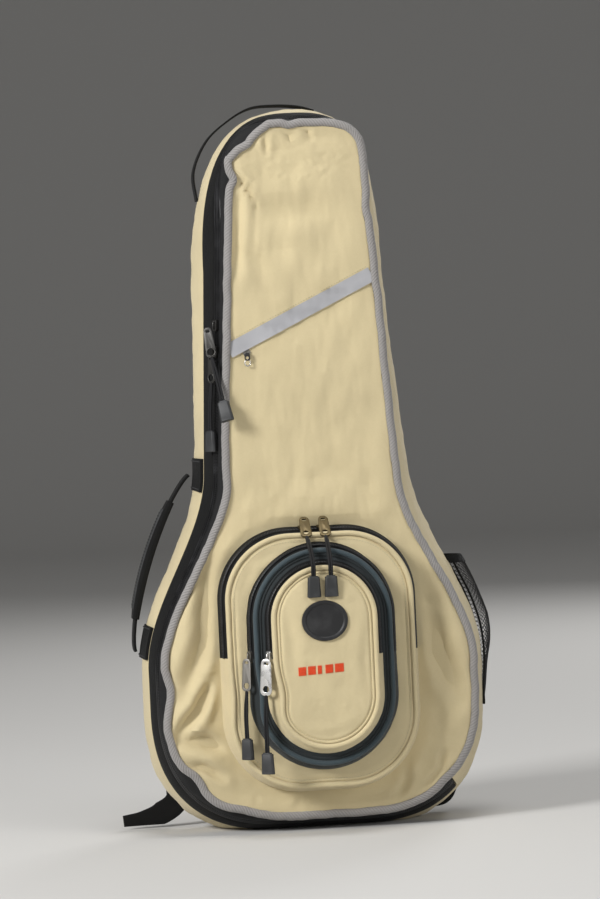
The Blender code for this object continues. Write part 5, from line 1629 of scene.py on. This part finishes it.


# Back: a padded yoke, two shoulder pads with bound edges, and their webbing with ladder locks.
# The webbing runs on from the pads' feet, and its tails run free.
STRAP_FRONT_Y = 0.0563
STRAP_TOP_X = 0.034
STRAP_TOP_Z = 0.592
PAD_W = 0.056
PAD_T = 0.011
PAD_LOW_X = 0.118
PAD_LOW_Z = 0.205
STRAP_WEB_W = 0.025
STRAP_WEB_T = 0.0018
YOKE_W = 0.130
YOKE_H = 0.048
LOCK_X = 0.142
LOCK_Z = 0.040
LOCK_Y = STRAP_FRONT_Y + STRAP_WEB_T + 0.0006 + 0.0025
LEFT_WEB = ((-0.128, 0.0, 0.130), (-0.141, 0.0, 0.062), (-0.1475, 0.0, 0.030),
            (-0.163, 0.0, 0.0165), (-0.185, -0.001, 0.0110), (-0.207, -0.004, 0.0090))
RIGHT_WEB = ((0.128, 0.0, 0.130), (0.141, 0.0, 0.062), (0.1445, 0.0, 0.036),
             (0.140, 0.0, 0.0200), (0.126, 0.0, 0.0165))


def squared(turns, power):
    """Cosines and sines that are drawn out toward the corners of a square."""
    return [np.sign(part) * np.abs(part) ** power for part in (np.cos(turns), np.sin(turns))]


across, rise = squared(np.arange(160) / 160 * 2 * pi, 0.35)
yoke_rim = np.stack([across * YOKE_W / 2 * (1 - 0.18 * (rise / 2 + 0.5)), np.full(160, 0.0530),
                     STRAP_TOP_Z + YOKE_H / 2 + rise * YOKE_H / 2], axis=1)
yoke_face, yoke_under = panel_rings(yoke_rim, 0.0545, 1, 0.0062, 0.0015, 131.0, rows=24)
dress(close_panel("strap_yoke_pad", yoke_face, yoke_under), tan_nylon, "shell", "strap_yoke")
stitches("strap_yoke_stitches", yoke_face[5][::2] + (0, 0.0003, 0), (0, 1, 0), 0.0026, 0.0036,
         tan_thread, "shell")

pad_weave = woven_material("black_pad_cloth", (0.014, 0.014, 0.015), (0.006, 0.006, 0.007), 0.0011,
                           0.75, 0.0003)
for hand, side, rest in (("left", -1, LEFT_WEB), ("right", 1, RIGHT_WEB)):
    sections = []
    pad_line = []
    middle = STRAP_FRONT_Y + PAD_T / 2
    cosines, sines = squared(np.arange(28) / 28 * 2 * pi, 0.8)
    for share in np.linspace(0.0, 1.0, 90):
        z = STRAP_TOP_Z - 0.0006 + (PAD_LOW_Z - STRAP_TOP_Z) * share
        x = side * (STRAP_TOP_X + (PAD_LOW_X - STRAP_TOP_X) * share - 0.012 * sin(pi * share))
        half = PAD_W * min(1.0, 0.72 + 1.4 * share, 0.55 + 2.2 * (1 - share)) / 2 - 0.0015
        thick = PAD_T * min(1.0, 0.5 + 3 * share, 0.5 + 3 * (1 - share))
        quilt = 0.0012 * np.exp(-((np.abs(cosines) - 0.80) * half / 0.0016) ** 2)
        uneven = [0.0005 * noise.noise(Vector((across, z, side)) * 60) for across in cosines * half]
        sections.append(np.stack([x + cosines * half,
                                  middle + sines * (thick / 2 - 0.0004) - np.sign(sines) * quilt
                                  + uneven, np.full(28, z)], axis=1))
        pad_line.append((x, middle, z, half, thick))
    dress(skin(hand + "_shoulder_pad", sections, smooth=60), pad_weave, "strap_" + hand,
          "strap_pad_" + hand)
    rim = [(x - half, y, z) for x, y, z, half, thick in pad_line[1:-1]]
    rim += [(x + half, y, z) for x, y, z, half, thick in pad_line[-2:0:-1]]
    plain_tube(hand + "_pad_binding", rim, 0.0020, black_tape, "strap_" + hand,
               ring=True, sides=8)
    for way in (-0.80, 0.80):
        stitches(hand + "_pad_stitches", [(x + half * way, y + thick / 2 - 0.0012, z)
                                          for x, y, z, half, thick in pad_line[3:-3]], (0, 1, 0),
                 0.0028, 0.0040, black_thread, "strap_" + hand)

    middle = STRAP_FRONT_Y + STRAP_WEB_T / 2
    line = smooth_points([(side * PAD_LOW_X, middle, PAD_LOW_Z - 0.0006)]
                         + [(across, middle + off, up) for across, off, up in rest], 14)
    ahead = heading(line)
    across_way = np.cross(ahead, unit((0, 1, 0) - ahead * ahead[:, 1:2]))
    room = 2 * (line[:, 2] - 0.003) / np.maximum(np.abs(across_way[:, 2]), 0.2)
    webbing = webbing_strip(hand + "_strap_webbing", line, across_way,
                            np.minimum(STRAP_WEB_W, room), STRAP_WEB_T, black_tape, None,
                            "strap_webbing_" + hand)
    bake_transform(webbing)

    lock = hard_cube((0.034, 0.005, 0.030), (side * LOCK_X, LOCK_Y, LOCK_Z))
    round_edges(lock, 1, 0.004)
    for row in (-1, 1):
        cut_away(lock, hard_cube((0.0265, 0.02, 0.006),
                                 (side * LOCK_X, LOCK_Y, LOCK_Z + row * 0.006)))
    soften(lock, 0.0007, 3)
    lip = hard_cube((0.022, 0.0022, 0.0042), (side * LOCK_X, LOCK_Y + 0.0010, LOCK_Z + 0.0128))
    soften(lip, 0.0009, 3)
    dress(joined(hand + "_ladder_lock", [lock, lip]), pull_rubber, "ladder_lock_" + hand,
          "ladder_lock_" + hand)


# Inside: foam slabs under a plush lining, and a covered cradle that takes the mandolin's neck.
# The foam shows only at its cut edges, between the lining and the cover.
CRADLE_Z = 0.435
CRADLE_BACK_Y = 0.0379
CRADLE_FACE_Y = 0.0019
CRADLE_MIDDLE = np.array((0.0, 0.024))
CRADLE_HALF = ((0.075, CRADLE_BACK_Y), (0.075, CRADLE_FACE_Y), (0.028, CRADLE_FACE_Y),
               (0.0224, CRADLE_FACE_Y + 0.0192), (0.0112, CRADLE_FACE_Y + 0.024))
PLUSH = (0.040, 0.040, 0.044)
PLUSH_DEEP = (0.018, 0.018, 0.020)
FOAM_GREY = (0.32, 0.32, 0.33)


def plush_values(cloth, body):
    """Short pile: soft tufts, lighter where the pile leans over."""
    pile, brushed = body.noise(1500.0, 3.0), body.noise(28.0, 3.0)
    return (brushed.times_plus(0.6, pile * 0.4).mix(PLUSH_DEEP, PLUSH), None,
            brushed.times_plus(0.8, pile))


def foam_values(cloth, body):
    """Closed-cell foam: fine cells and a few larger pores."""
    cells = body.cells(900.0)
    light = body.noise(18.0, 3.0).times_plus(0.5, cells * 0.6)
    return light.mix((0.24, 0.24, 0.25), (0.42, 0.42, 0.43)), None, cells


plush = own_material("lining_plush", PLUSH, 0.95, plush_values, 0.8, 0.0006,
                     {"Sheen Weight": 0.7, "Sheen Roughness": 0.4})
foam = own_material("grey_foam", FOAM_GREY, 0.9, foam_values, 0.6, 0.0004)


def inner_slab(name, node, face_y, side, thick, material, body, puff):
    """A sheet or slab of the inside, cut to its CAD node's outline."""
    low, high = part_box(node)
    inset = shell_ring(all_round, face_y)[:, 0].max() - high.x
    rim = shell_ring(all_round, face_y, inset, low.z - inset)
    panel = close_panel(name, *panel_rings(rim, face_y, side, puff, thick, 150.0 + face_y * 1000,
                                           rows=24, height=0.0006))
    dress(panel, material, body, node)


for which, body, side in (("back", "shell", -1), ("front", "lid", 1)):
    inner_slab(which + "_foam_slab", which + "_foam", -side * 0.0402, side, 0.0073, foam,
               body, 0.0003)
    inner_slab(which + "_lining_plush", which + "_lining", -side * 0.0386, side, 0.0007, plush,
               body, 0.0010)
side_pad = gusset("gusset_foam_wall", all_round, np.linspace(-0.0354, 0.0392, 22), 0.0078, True,
                  61.0, 0.0004, inset=COVER_T + 0.0008)
dress(side_pad, plush, "shell", "rear_gusset_foam")

corners = np.array([(-0.075, CRADLE_BACK_Y), *CRADLE_HALF,
                    *((-x, y) for x, y in CRADLE_HALF[:0:-1])])
outline = np.concatenate([here + (after - here) * np.arange(12)[:, None] / 12
                          for here, after in zip(corners, np.roll(corners, -1, axis=0))])
for turn in range(3):
    outline = (np.roll(outline, 1, axis=0) + outline * 2 + np.roll(outline, -1, axis=0)) / 4
cradle_rows = []
for lift, shrink in ((0.0, 0.90), (0.0004, 0.97), (0.002, 0.992), (0.005, 1.0), (0.015, 1.0),
                     (0.030, 1.0), (0.045, 1.0), (0.055, 1.0), (0.058, 0.992), (0.0596, 0.97),
                     (0.060, 0.90)):
    x, y = (CRADLE_MIDDLE + (outline - CRADLE_MIDDLE) * shrink).T
    cradle_rows.append(np.stack([x, np.minimum(y, CRADLE_BACK_Y),
                                 np.full(len(x), CRADLE_Z - 0.030 + lift)], axis=1))
dress(skin("neck_cradle_cover", cradle_rows, smooth=50), plush, "shell", "neck_cradle")

strap_line = [(across, CRADLE_FACE_Y - 0.0016, CRADLE_Z)
              for across in np.linspace(-0.050, 0.050, 40)]
webbing_strip("neck_hook_and_loop_strap", strap_line, (0, 0, 1), 0.026, 0.0022, black_tape,
              "neck_strap", "neck_strap")
for across in (-0.046, 0.046):
    stitches("neck_strap_stitches", [(across, CRADLE_FACE_Y - 0.0029, CRADLE_Z + rise)
                                     for rise in np.linspace(-0.011, 0.011, 12)], (0, -1, 0),
             0.0022, 0.0030, black_thread, "neck_strap")


bpy.context.view_layer.update()
